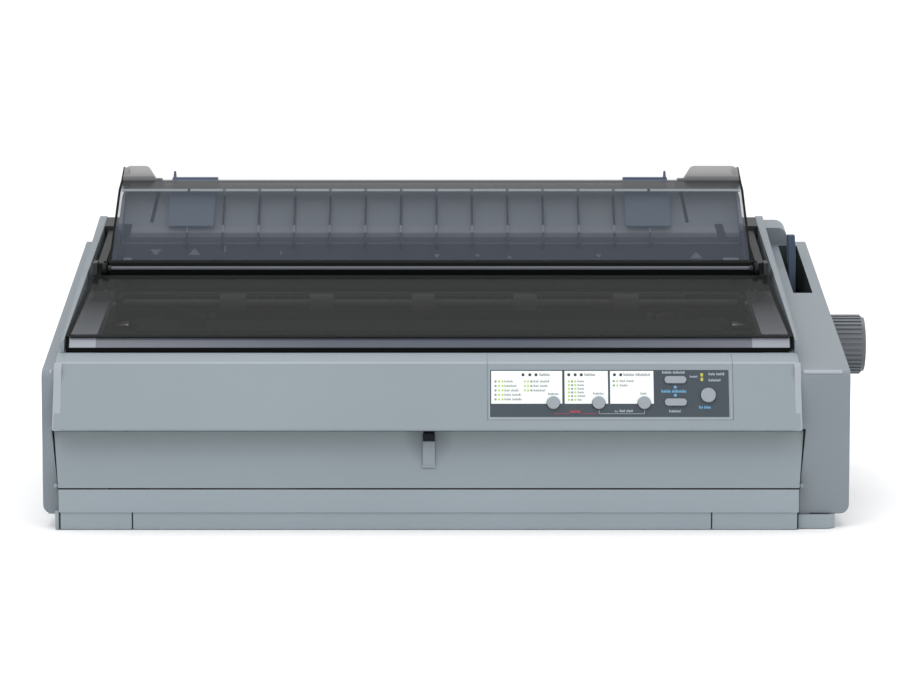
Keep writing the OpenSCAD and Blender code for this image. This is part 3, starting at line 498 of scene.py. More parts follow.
def evaluated(o):
    """Bakes the object's modifiers into its mesh."""
    deps = bpy.context.evaluated_depsgraph_get()
    mesh = bpy.data.meshes.new_from_object(o.evaluated_get(deps))
    old = o.data
    o.modifiers.clear()
    o.data = mesh
    bpy.data.meshes.remove(old)
    return o


def round_edges(o, width, segments=2, angle=SKIN_EDGE):
    """Rounds the sharp edges and keeps the wide faces flat in the shading."""
    if width:
        bev = o.modifiers.new("Round", "BEVEL")
        bev.width, bev.segments = width * MM, segments
        bev.limit_method, bev.angle_limit = "ANGLE", math.radians(angle)
        bev.use_clamp_overlap = True
        bev.miter_outer = "MITER_ARC"
        evaluated(o)
    shade_smooth(o.data)
    even = o.modifiers.new("Even", "WEIGHTED_NORMAL")
    even.keep_sharp, even.weight = True, 90
    return evaluated(o)


def soften(node, paint, body, width=0.6, segments=2):
    """A copy of a CAD node with merged faces and rounded edges, standing for the node."""
    flat_angle, doubles, crowd = math.radians(2.0), 2e-6, 12
    bm = bmesh.new()
    bm.from_mesh(bpy.data.objects[node].data)
    bmesh.ops.remove_doubles(bm, verts=bm.verts, dist=doubles)
    bmesh.ops.dissolve_limit(bm, angle_limit=flat_angle, verts=bm.verts, edges=bm.edges,
                             delimit={"NORMAL"})
    # Walls with many openings are split up first, because the bevel would tear so large a face.
    crowded = [f for f in bm.faces
               if len(f.verts) > crowd and (abs(f.normal.x) > 0.9 or f.normal.y > 0.9)]
    bmesh.ops.triangulate(bm, faces=crowded)
    return claim(round_edges(raw(node + "_skin", bm), width, segments), paint, body, (node,))


def tint(o, paint, test):
    """Gives the faces whose centre and normal pass the test another paint."""
    o.data.materials.append(PAINTS[paint])
    slot = len(o.data.materials) - 1
    for face in o.data.polygons:
        if test((face.center - DATUM) / MM, face.normal):
            face.material_index = slot


def repaint(paint, *nodes):
    for node in nodes:
        o = bpy.data.objects[node]
        o.data.materials.clear()
        o.data.materials.append(PAINTS[paint])
        for face in o.data.polygons:
            face.material_index = 0
        shade_smooth(o.data, REPAINT_ANGLE)


def rounded(points, radius, steps=4):
    """Rounds an outline's corners. A point may carry its own radius as a third number."""
    out, n = [], len(points)
    for i in range(n):
        p = Vector(points[i][:2])
        r = points[i][2] if len(points[i]) > 2 else radius
        a, b = Vector(points[i - 1][:2]) - p, Vector(points[(i + 1) % n][:2]) - p
        half = a.angle(b) / 2
        if r <= 0 or half > math.radians(89):
            out.append(tuple(p))
            continue
        reach = min(r / math.tan(half), a.length * 0.49, b.length * 0.49)
        start, end = p + a.normalized() * reach, p + b.normalized() * reach
        for k in range(steps + 1):
            t = k / steps
            out.append(tuple(start * (1 - t) ** 2 + p * 2 * t * (1 - t) + end * t ** 2))
    return out


def circle(radius, sides, u=0.0, v=0.0):
    """A round outline about (u, v)."""
    turns = [2 * math.pi * k / sides for k in range(sides)]
    return [(u + radius * math.cos(a), v + radius * math.sin(a)) for a in turns]


def mirrored(points):
    """The outline on the other side of the middle line, running the same way round."""
    return [(-u, v) for u, v in points][::-1]


def end_zones(near, far):
    """The two zones between near and far mm from the covers' middle, left and then right."""
    return [sorted((CENTRE_X - near, CENTRE_X - far)), sorted((CENTRE_X + near, CENTRE_X + far))]


def box_outline(u0, u1, v0, v1, radius=0.0, steps=3):
    points = [(u0, v0), (u1, v0), (u1, v1), (u0, v1)]
    return rounded(points, radius, steps) if radius else points


def add_prism(bm, outline, lo, hi, at):
    """Adds an outline of (u, v) drawn out from lo to hi; at(u, v, w) places each point."""
    ends = [[bm.verts.new(at(u, v, w)) for u, v in outline] for w in (lo, hi)]
    bm.faces.new(ends[0])
    bm.faces.new(ends[1][::-1])
    for i in range(len(outline)):
        bm.faces.new((ends[0][i], ends[0][i - 1], ends[1][i - 1], ends[1][i]))


def prism(name, outline, lo, hi, at, paint, body, *nodes, bevel=0.0):
    return prisms(name, [(outline, lo, hi)], at, paint, body, *nodes, bevel=bevel)


def prisms(name, shapes, at, paint, body, *nodes, bevel=0.0, segments=2):
    """One piece from several drawn-out outlines, each as (outline, lo, hi)."""
    bm = bmesh.new()
    for outline, lo, hi in shapes:
        add_prism(bm, outline, lo, hi, at)
    return claim(round_edges(raw(name, bm), bevel, segments, PRISM_EDGE), paint, body, nodes)


def along_x(u, v, w):
    return place(w, u, v)


def facing(y=0.0, out=-1.0, x=0.0):
    """Placing with u across from x, v up, and w along Y from y: out is -1 towards the front."""
    return lambda u, v, w: place(x + u, y + out * w, v)


def on_guide(u, v, w):
    """Points on the paper guide: u across, v up its slope, w out of its face."""
    c, k = math.cos(GUIDE_SLOPE), math.sin(GUIDE_SLOPE)
    return place(u, GUIDE_FOOT[0] + v * c - w * k, GUIDE_FOOT[1] + v * k + w * c)


def to_guide(p):
    """How far a point in millimetres is up the guide's slope, and out of its face."""
    c, k = math.cos(GUIDE_SLOPE), math.sin(GUIDE_SLOPE)
    y, z = p.y - GUIDE_FOOT[0], p.z - GUIDE_FOOT[1]
    return y * c + z * k, z * c - y * k


def template(name, shapes, bevel=0.0, at=None):
    """A small mesh at the origin, in metres, for the graphs to copy."""
    bm = bmesh.new()
    at = at or (lambda u, v, w: Vector((u, v, w)) * MM)
    for outline, lo, hi in shapes:
        add_prism(bm, outline, lo, hi, at)
    return round_edges(raw(name, bm), bevel, 1, PRISM_EDGE)


def grid(o, paint, body, start, step_u=(0, 0, 0), count_u=1, step_v=(0, 0, 0), count_v=1):
    """Copies a template from start on, by steps given in metres."""
    GRAPHS["grid"].apply(o, Start=tuple(start), CountU=count_u, StepU=tuple(step_u), CountV=count_v,
                         StepV=tuple(step_v), Material=PAINTS[paint])
    return claim(o, None, body)


def spots(name, shape, paint, body, places):
    """Copies a shape to each of (point, size)."""
    mesh = bpy.data.meshes.new(name)
    mesh.from_pydata([p for p, _ in places], [], [])
    size = mesh.attributes.new("size", "FLOAT_VECTOR", "POINT")
    for i, (_, stretch) in enumerate(places):
        size.data[i].vector = stretch
    o = bpy.data.objects.new(name, mesh)
    bpy.context.scene.collection.objects.link(o)
    GRAPHS["spots"].apply(o, Template=shape, Material=PAINTS[paint])
    return claim(o, None, body)


def away(o):
    """Removes a template that has been copied."""
    mesh = o.data
    bpy.data.objects.remove(o)
    bpy.data.meshes.remove(mesh)


# ---- Properties -------------------------------------------------------------------------------
class PrinterFinish(bpy.types.PropertyGroup):
    """Colours and small sizes that a user would change."""
    case_colour: FloatVectorProperty(
        name="Case colour", description="Colour of the moulded case", subtype="COLOR", size=3,
        min=0, max=1, default=rgb(127, 137, 144))
    smoke_colour: FloatVectorProperty(
        name="Smoke colour", description="Tint of the front cover", subtype="COLOR", size=3,
        min=0, max=1, default=rgb(30, 31, 31))
    blue_colour: FloatVectorProperty(
        name="Lever colour", description="Colour of the lever and the edge guides", subtype="COLOR",
        size=3, min=0, max=1, default=rgb(66, 79, 100))
    smoke_alpha: FloatProperty(
        name="Smoke depth", description="How much the front cover hides", subtype="FACTOR",
        min=0.1, max=1.0, default=0.8)
    edge_round: FloatProperty(
        name="Edge rounding", description="Radius on the case's edges in millimetres",
        min=0.2, max=1.5, default=0.8)


class PrinterPiece:
    """What every piece's operator shares."""
    bl_options = {"REGISTER", "UNDO"}

    def execute(self, context):
        self.build(context.scene.printer_finish)
        return {"FINISHED"}


class PRINTER_OT_finishes(PrinterPiece, bpy.types.Operator):
    """Mix the printer's finishes and build its copying graphs"""
    bl_idname = "printer.finishes"
    bl_label = "Finishes"

    def build(self, s):
        mix_paints(s)
        GRAPHS.update(grid=grid_graph(), spots=spot_graph())


class PRINTER_OT_case(PrinterPiece, bpy.types.Operator):
    """Skin the upper and lower case, the front door and its latch"""
    bl_idname = "printer.case"
    bl_label = "Case"

    def build(self, s):
        upper = soften("upper_case", "case", "case", s.edge_round, 3)
        tint(upper, "case_shaded_copy", self.beside)
        tint(upper, "slot", self.in_slot)
        tint(upper, "crossbar", self.on_crossbar)
        # The lower case wears a lighter copy of the case plastic, as painted light.
        lower = soften("lower_case", "case_lit_copy", "case", 0.5)
        # The step where the base's front strip meets the door, painted dark as the shade in the gap.
        tint(lower, "seam_and_shade", lambda p, n: n.z > 0.7 and 4.9 < p.y < 8.1 and 27.5 < p.z < 29.2)
        soften("front_cover", "door", "front_door", 0.5)
        self.latch()
        self.fascia_trim()
        self.seams()
        soften("slot_cover", "case", "case", 0.4)
        repaint("case", "rear_panel")
        repaint("rubber", "rubber_feet")

    @staticmethod
    def beside(p, n):
        """The decks, rims and front faces on both sides of the bay, painted darker as shade."""
        slack, rim = 0.2, 273
        outside = p.x <= BAY_L - slack or p.x >= BAY_R + slack
        return outside and (n.z > 0.5 or n.y < -0.5) or (
            abs(p.x - CENTRE_X) > rim and p.y > 40 and n.z > 0.3)

    @staticmethod
    def in_slot(p, n):
        """The walls of the lever slot, painted dark as shade."""
        deck = DECK_FRONT[1] + (p.y - DECK_FRONT[0]) * math.tan(DECK_SLOPE)
        left, right, front, back, below = 279.3, 295.2, 202.8, 330.2, 0.4
        return left < p.x < right and front < p.y < back and p.z < deck - below

    @staticmethod
    def on_crossbar(p, n):
        """The bar behind the covers, between the rims."""
        y, z = p.y - DECK_FRONT[0], p.z - DECK_FRONT[1]
        c, k = math.cos(DECK_SLOPE), math.sin(DECK_SLOPE)
        up_deck, over_deck = y * c + z * k, z * c - y * k
        half, front, back, above = 276, 321, 348.6, 0.6
        return abs(p.x - CENTRE_X) < half and front < up_deck < back and over_deck > above

    def latch(self):
        """The door's catch: a pale tab in a hole painted dark as shade."""
        catch, tab_top = soften("front_latch", "case", "latch", 0.4), 64.2
        # The catch's sides and the part above the tab are painted dark as shade.
        tint(catch, "seam_and_shade", lambda p, n: n.y > -0.6 or p.z > tab_top)
        depth = 0.6
        face = lambda z: 11.4 + (z - 49.6) * 0.375
        for name, low, high, half, out, paint, body in (
                ("latch_tab", 46.9, 63.9, 4.6, 0.55, "case", "latch"),
                ("latch_sill", 44.9, 47.1, 5.4, 0.15, "door", "front_door"),
                ("latch_hole", 64.0, 69.6, 4.5, 0.3, "seam_and_shade", "front_door")):
            plate = [(face(low) - out, low), (face(high) - out, high),
                     (face(high) + depth, high), (face(low) + depth, low)]
            prism(name, plate, LATCH_X - half, LATCH_X + half, along_x, paint, body, bevel=0.2)

    def fascia_trim(self):
        """The fascia's rounded ends, its top ridge and the cheeks' ridges, painted pale as highlights,
        and the rear entry's bar.
        """
        cap = [(0.02, 75.0), (0.5, 74.2), (16, 74.2), (24, 100), (24, 122.4), (19.9, 123.1),
               (14.8, 117.8), (14.2, 110.5)]
        prisms("fascia_end_bands", [(cap, a, b) for a, b in ((-294.4, -288.4), (261.4, 266.3))],
               along_x, "case_highlight", "case", bevel=0.45, segments=3)
        ridge = [(19.55, 122.1), (19.85, 123.05), (20.95, 123.55), (20.9, 122.9), (20.1, 122.3),
                 (19.8, 121.9)]
        runs = [(ridge, a, b) for a, b in ((-289.0, 30.6), (31.3, 214.7), (215.4, 262.4))]
        prisms("fascia_ridge", runs, along_x, "case_highlight", "case")
        shoulder = [(15.9, 115.4), (16.5, 116.9), (18.2, 117.9), (18.7, 116.7), (17.3, 115.9),
                    (16.9, 115.1)]
        prisms("cheek_ridges", [(shoulder, -HALF_W + 6, -296.0), (shoulder, 268.5, HALF_W - 6)],
               along_x, "case_highlight", "case")
        bar = rounded([(371, 141), (373, 141), (373, 145.4), (371, 145.4)], 0.5, 2)
        prism("paper_entry_bar", bar, -280.6, 255.6, along_x, "black", "case")

    def seams(self):
        """Dark lines where the base's front strip is split."""
        strip_y, half = 6.42, 0.55
        lines = [(box_outline(x - half, x + half, -1.1, 11.6), 0.0, 0.06)
                 for x in (-290.0, -235.5, 199.5, 264.2)]
        prisms("base_seams", lines, facing(strip_y), "seam_and_shade", "case")


class PRINTER_OT_control_panel(PrinterPiece, bpy.types.Operator):
    """Build the control panel with its label and keys"""
    bl_idname = "printer.control_panel"
    bl_label = "Control panel"
    film = 0.06

    def build(self, s):
        soften("panel_bezel", "case", "case", 0.4)
        repaint("label", "panel_label")
        repaint("board", "panel_board")
        for key in ("font", "pitch", "tear", "load", "feed", "pause"):
            soften("button_" + key, "key", "key_" + key, 0.6, 3)
        self.windows()
        self.tables()
        self.captions()

    def windows(self):
        """White fields, each notched round its key."""
        foot, top, key_v, r = 21.1, 46.5, 21.5, 5.2
        dip = math.degrees(math.asin((foot - key_v) / r))
        bow = [180 - dip - (180 - 2 * dip) * k / 16 for k in range(17)]
        shapes = []
        for x0, x1, key in ((33.9, 87.1, 80.4), (88.9, 121.4, 114.4), (123.0, 155.6, 148.5)):
            notch = [(key + r * math.cos(math.radians(a)), key_v + r * math.sin(math.radians(a)))
                     for a in bow]
            shapes.append(([(x0, foot), *notch, (x1, foot), (x1, top), (x0, top)], 0.0, self.film))
        prisms("panel_windows", shapes, on_fascia, "white_ink", "case")

    def dot(self, name, r, high):
        """A flat disc in the plane of the fascia, at the origin."""
        flat = lambda u, v, w: on_fascia(u, v, w) - on_fascia(0, 0, 0)
        return template(name, [(circle(r, 12), 0.0, high)], at=flat)

    def tables(self):
        """Rows of mode dots beside the captions, and the lamps above them."""
        up = on_fascia(0, 1, 0) - on_fascia(0, 0, 0)
        for i, (x, v, rows, fall, columns, pitch) in enumerate((
                (37.1, 38.3, 5, 3.48, 3, 2.62), (59.1, 38.3, 3, 3.5, 3, 2.45),
                (92.1, 38.3, 6, 2.84, 3, 2.4), (125.8, 38.6, 2, 3.4, 2, 2.6))):
            for shift in range(columns):
                grid(self.dot(f"mode_dots_{i}_{shift}", 0.95, self.film),
                     "green_ink" if (shift + i) % 3 else "grey_ink", "case",
                     on_fascia(x + shift * pitch, v, self.film), up * -fall, rows)
        lamp = self.dot("lamp_shape", 1.2, 0.14)
        spots("panel_lamps", lamp, "lamp", "case", [(on_fascia(x, 43.5, 0.0), (1, 1, 1)) for x in (
            57.8, 62.9, 67.5, 92.1, 96.9, 101.5, 126.4, 131.1)])
        bars = [(box_outline(190.9, 192.9, v - 1.3, v + 1.3, 0.4), 0.0, 0.3) for v in (43.4, 39.9)]
        prisms("pause_lamps", bars, on_fascia, "yellow_ink", "case")
        spots("adjust_marks", lamp, "blue_ink", "case", [
            (on_fascia(171.8, v, 0.0), (1, 1, 1)) for v in (33.9, 27.6)])
        away(lamp)

    def captions(self):
        """Letterless strokes as captions: (left, right, height up the fascia, thickness)."""
        bars = {
            "grey_ink": [(43.8, 50.3, 38.3, 1), (43.8, 52.8, 34.8, 1), (43.8, 54.8, 31.3, 1.1),
                         (43.8, 56.3, 27.9, 1.1), (43.8, 57.2, 24.4, 1.1), (65.6, 77.7, 38.3, 1.1),
                         (65.6, 76.3, 34.8, 1.1), (65.6, 74.3, 31.3, 1.1), (70.2, 77.8, 43.5, 1.4),
                         (76.4, 84.9, 28.6, 1), (98.6, 103.9, 38.3, 1), (98.6, 103.9, 35.4, 1),
                         (98.6, 103.9, 32.6, 1), (98.6, 103.9, 29.8, 1), (98.6, 104.6, 27, 1),
                         (98.6, 101.6, 24.1, 1), (103.9, 112.4, 43.5, 1.4), (110.2, 118.6, 28.9, 1),
                         (130.3, 140.8, 38.6, 1.1), (130.3, 136.3, 35.2, 1.1), (133.2, 152.9, 43.5, 1.4),
                         (145.7, 150.2, 28.9, 1)],
            "pale_ink": [(162.2, 179.4, 45.3, 1.3), (167, 175.6, 15.2, 1.2), (182.9, 188.8, 42, 0.9),
                         (197, 209.3, 44, 1.2), (197, 205.8, 39.2, 1.2), (130, 140.3, 15.4, 1.2),
                         (126.3, 128.7, 15, 0.7), (114.6, 148.4, 13.3, 0.35)],
            "blue_ink": [(161.4, 180.6, 30.6, 1.4), (189.4, 198.6, 18.2, 1.3)],
            "red_ink": [(92.8, 101.2, 14.9, 1.3), (80.6, 92, 13.3, 0.35), (102, 113, 13.3, 0.35)],
        }
        low, high = self.film, self.film * 2
        widths, heights = (0.75, 0.55, 0.95, 0.7), (1.7, 1.15, 1.25, 1.6, 1.15)
        line, longest_word, gap = 0.5, 9, 0.28
        for paint, rows in bars.items():
            shapes = []
            for x0, x1, v, h in rows:
                if h < line:
                    shapes.append((box_outline(x0, x1, v - h / 2, v + h / 2), low, high))
                    continue
                # Strokes of mixed width and height, with a gap like a space between words.
                x, k = x0, 0
                space = x0 + (x1 - x0) * (0.42 if x1 - x0 > longest_word else 1.5)
                while x < x1 - 0.4:
                    wide, tall = widths[k % 4], h * heights[k % 5]
                    if x <= space < x + wide + 0.3:
                        x += 0.8
                    foot = v - h * 0.7
                    shapes.append((box_outline(x, min(x + wide, x1), foot, foot + tall), low, high))
                    x, k = x + wide + gap, k + 1
            prisms("panel_strokes_" + paint, shapes, on_fascia, paint, "case")
        # A frame round the label, painted pale as a highlight on its edges.
        edges = [(32.3, 32.9, 9.9, 47.6), (32.3, 213.8, 9.3, 10.0), (213.2, 213.8, 10.0, 47.6)]
        prisms("label_frame", [(box_outline(*f), -0.2, 0.1) for f in edges],
               on_fascia, "case_highlight", "case")
        posts = [(box_outline(x - 0.18, x + 0.18, 13.1, 16.2), low, high) for x in (114.6, 148.4)]
        prisms("menu_bracket", posts, on_fascia, "pale_ink", "case")


class PRINTER_OT_covers(PrinterPiece, bpy.types.Operator):
    """Make the two smoked covers and their hinges"""
    bl_idname = "printer.covers"
    bl_label = "Smoked covers"
    # Half the front cover's width, and the places up the deck, of its front and rear edge.
    front_half, rear_half = 275.0, 270.4
    front_s, rear_s = 33.0, 184.0
    sheet_low, sheet_top = 14.6, 17.6

    def half(self, s):
        """Half the front cover's width at s mm up the deck."""
        k = (s - self.front_s) / (self.rear_s - self.front_s)
        return self.front_half + (self.rear_half - self.front_half) * k

    def deck(self, u, v, w):
        return on_deck(CENTRE_X + u, v, w)

    def build(self, s):
        self.front_cover()
        self.guide_cover()
        for side in ("left", "right"):
            soften("hinge_bracket_" + side, "bracket", "case", 0.5)

    def front_cover(self):
        body = "front_cover_lid"
        a, b = self.front_s, self.rear_s
        sheet = rounded([(-self.half(a), a, 5), (self.half(a), a, 5), (self.half(b), b, 2),
                         (-self.half(b), b, 2)], 2, 6)
        plate = prism("front_cover_sheet", sheet, self.sheet_low, self.sheet_top, self.deck, "smoke",
                      body, "printer_cover", bevel=0.7)
        tint(plate, "clear", lambda p, n: n.z < -0.8)
        lip = rounded([(36, 132.4), (41.5, 140.1), (44.6, 140.7), (44.6, 138.4), (43, 137.4), (39, 132)],
                      0.7, 3)
        left, right = CENTRE_X - 252.4, CENTRE_X + 244.0
        prism("front_cover_lip", lip, left, right, along_x, "smoke_lip", body)
        # The lip's ends are painted pale as a reflection, where the grey case lies behind them.
        ends = [(lip, CENTRE_X - LIP_HALF, left), (lip, right, CENTRE_X + LIP_HALF)]
        prisms("front_cover_lip_ends", ends, along_x, "lip_end", body)
        # A black line below the lip, and a black end on each side of it.
        under = rounded([(35.7, 131.2), (36.9, 133.2), (37.6, 132.8), (38.4, 131.2)], 0.3, 2)
        end = rounded([(36, 131.9), (41.6, 140.3), (46, 141), (46, 137), (40, 131.4)], 1.0, 3)
        black = [(under, CENTRE_X - 274, CENTRE_X + 274)]
        black += [(end, *zone) for zone in end_zones(LIP_HALF, 274.9)]
        prisms("front_cover_ends", black, along_x, "black", body, bevel=0.3)
        pale = [(-272, 36), (-252, 36), (-250, 128), (-268.4, 128)]
        prisms("front_cover_veils", [(outline, 17.62, 17.7) for outline in (pale, mirrored(pale))],
               self.deck, "veil", body)
        self.front_cover_edges(body)
        arm = rounded([(183.5, 168), (200, 172.4), (203, 178), (200, 183.2), (192, 174.6), (183, 172.4)],
                      1.2, 3)
        for side, zone in zip((0, 2), end_zones(263.5, 266.7)):
            prism(f"cover_hinge_arm_{side}", arm, *zone, along_x, "black", body, bevel=0.4)
        # A black strip of painted shadow between the lip and the case's ledge.
        shadow_strip = rounded([(36.5, 128.9), (36.5, 131.2), (46, 132), (46, 129.8)], 0.4, 2)
        prism("cover_seal", shadow_strip, BAY_L + 6, BAY_R - 6, along_x, "black", "case")

    def front_cover_edges(self, body):
        """Black lines behind the lip and down both sides, and a band in front of the hinge that is
        partly print and partly painted shadow.
        """
        a, b = self.front_s, self.rear_s
        edge = [(box_outline(-272, 272, a - 4.6, a - 0.6, 0.4), 17.3, 17.95)]
        for side in (-1, 1):
            run = [(side * (self.half(s) - w), s)
                   for s, w in ((a - 3, 0.0), (b - 1, 0.0), (b - 1, 2.4), (a - 3, 2.4))]
            edge.append((run, 14.4, 17.85))
        band = [(-self.half(b) + 3, b - 0.3), (-self.half(b) + 4, b - 5), (-self.half(b) + 18, b - 9.5)]
        edge.append((band + mirrored(band), 17.4, 17.75))
        prisms("front_cover_edges", edge, self.deck, "black", body)

    def guide_cover(self):
        body = "guide_lid"
        line = [(206.5, 182), (290.6, 234.23), (292.4, 235.2), (294.4, 235.78), (315, 241.6),
                (315.8, 238.75), (294.9, 232.8), (292.6, 231.9), (208.1, 179.5)]
        panel = prism("guide_cover_sheet", line, CENTRE_X - 258.4, CENTRE_X + 258.4, along_x,
                      "smoke_guide", body, "guide_cover", bevel=0.4)
        bend_y = 294.6
        tint(panel, "smoke_flange", lambda p, n: p.y > bend_y and n.z > 0.3)
        tint(panel, "clear", lambda p, n: n.z < -0.5)
        # The bend catches the light as a thin line, broken where a rib lies behind it.
        left, right, ribs = -269.6, 244.6, 14
        stops = [left] + [FIRST_RIB + i * RIB_PITCH for i in range(ribs)] + [right]
        ridge = [(290.4, 234.2), (292.3, 235.4), (294.4, 235.95), (294.3, 235.5), (292.5, 234.9),
                 (290.7, 233.9)]
        prisms("guide_cover_crease", [(ridge, a + 1.1, b - 1.1) for a, b in zip(stops, stops[1:])],
               along_x, "crease", body)
        rim = [(206.9, 182.5), (292, 235.35), (315.2, 241.9), (314.4, 239), (293.4, 233), (208.4, 179.9)]
        prisms("guide_cover_sides", [(rim, *zone) for zone in end_zones(257.2, 258.9)],
               along_x, "black", body, bevel=0.2)
        # A rolled foot along the hinge, painted pale as a highlight, with a black band of painted shadow
        # above and below it.
        prism("guide_cover_roll", circle(1.6, 16, 200.4, 178.2), CENTRE_X - 260.8, CENTRE_X + 260.8,
              along_x, "hinge_bar", body)
        shadow_band = rounded([(202.2, 182.6), (206.6, 184.4), (209.6, 182.4), (206, 178), (201.4, 176.4),
                         (197.6, 170.6), (194.6, 171.6), (197.2, 175.6), (200.0, 177.6)], 0.6, 2)
        shadow_band_piece = prism("guide_cover_skirt", shadow_band, CENTRE_X - 258.2, CENTRE_X + 258.2, along_x,
                         "shadow_band", body)
        # The band's upper part is painted black as deeper shadow.
        tint(shadow_band_piece, "black", lambda p, n: p.y > 200.8 and n.z > 0)
        tab = rounded([(196.5, 174.5), (195.5, 181), (200, 184.4), (207, 183), (212, 180.4),
                       (205, 174.5)], 1.4, 3)
        for side, zone in zip((0, 2), end_zones(258.9, 262.1)):
            prism(f"guide_cover_tab_{side}", tab, *zone, along_x, "black", body, bevel=0.3)


class PRINTER_OT_guide(PrinterPiece, bpy.types.Operator):
    """Make the paper guide and its edge guides"""
    bl_idname = "printer.paper_guide"
    bl_label = "Paper guide"

    def build(self, s):
        guide = soften("paper_guide", "guide", "guide", 0.4)
        # The ribs are painted dark as their shade.
        tint(guide, "rib", self.on_rib)
        # The ribs' lower tips are painted pale as highlights.
        tint(guide, "rib_tip_highlight", lambda p, n: (
            self.on_rib(p, n) and 58 < to_guide(p)[0] < 64.5 and abs(n.x) < 0.9))
        tint(guide, "ear", lambda p, n: p.y > 315.5 and p.z > 236 and abs(p.x - CENTRE_X) > 200)
        self.marks()
        self.ends()
        for side in ("left", "right"):
            plate = soften("edge_guide_" + side, "blue", "edge_" + side, 0.5)
            tint(plate, "edge_face", lambda p, n: n.y < -0.5 and p.y < 312)

    def ends(self):
        """Walls that close the guide's ends below the cover, and the ears' sloping outer sides with a
        black line of painted shadow along each.
        """
        wall = [(214, 179.1), (294.4, 228.9), (312, 233), (318, 236.5), (228, 160), (222, 166)]
        prisms("guide_end_walls", [(wall, *zone) for zone in end_zones(253.5, 256.1)],
               along_x, "guide", "guide")
        slope = [(252.5, 236.6), (252.5, 252), (256.1, 252.6), (259.2, 236.6)]
        edge = [(255.9, 252.8), (256.8, 252.8), (260.2, 236.2), (259.0, 236.2)]
        for name, outline, paint in (("ear_slopes", slope, "ear"), ("ear_edges", edge, "black")):
            prisms(name, [(sloped, 317.2, 319.0) for sloped in (mirrored(outline), outline)],
                   facing(out=1.0, x=CENTRE_X), paint, "guide")

    @staticmethod
    def on_rib(p, n):
        """The sides and tops of the thin ribs, which are painted dark as shade."""
        half, left, right, face = 1.1, -220, 175, 4.3
        nearest = abs((p.x - FIRST_RIB + RIB_PITCH / 2) % RIB_PITCH - RIB_PITCH / 2)
        return nearest < half and left < p.x < right and to_guide(p)[1] > face

    def marks(self):
        """Small moulded arrows and bars at the guide's foot, and the pads and slots at both ends."""
        arrow, raised = [(-3.4, 2.6), (3.4, 2.6), (0, -2.6)], 0.25
        signs = []
        for u, v, size, flip in ((-238, 40, 1.35, 1), (-206.3, 41, 1.45, -1), (-7.5, 36, 0.8, 1),
                                 (26, 36, 0.6, 1), (52, 35, 0.6, -1), (125, 36, 0.7, 1),
                                 (205, 37, 1.5, -1)):
            signs.append(([(u + a * size, v + b * size * flip) for a, b in arrow], 0.0, raised))
        signs += [(box_outline(u, u + 1.4, v, v + high, 0.4), 0.0, raised)
                  for u, v, high in ((-182, 41, 7), (-136, 38, 4))]
        prisms("guide_marks", signs, on_guide, "guide_mark", "guide")
        pads = [(box_outline(u, u + wide, 28, 34, 1.0), 0.0, raised)
                for u, wide in ((-264, 6.5), (227, 13))]
        prisms("guide_pads", pads, on_guide, "guide_pad", "guide")
        slots = []
        for wide, top, runs in (
                (6.8, 4.2, ((-266.7, 54, -265.7, 69), (223.7, 54, 221.4, 69))),
                (2.9, 4.25, ((-244.4, 71, -240.2, 112), (197.7, 71, 193.8, 112)))):
            slots += [([(u0, v0), (u0 + wide, v0), (u1 + wide, v1), (u1, v1)], 4.0, top)
                      for u0, v0, u1, v1 in runs]
        # The slots are painted dark as the shade inside them.
        prisms("guide_slots", slots, on_guide, "rib", "guide")


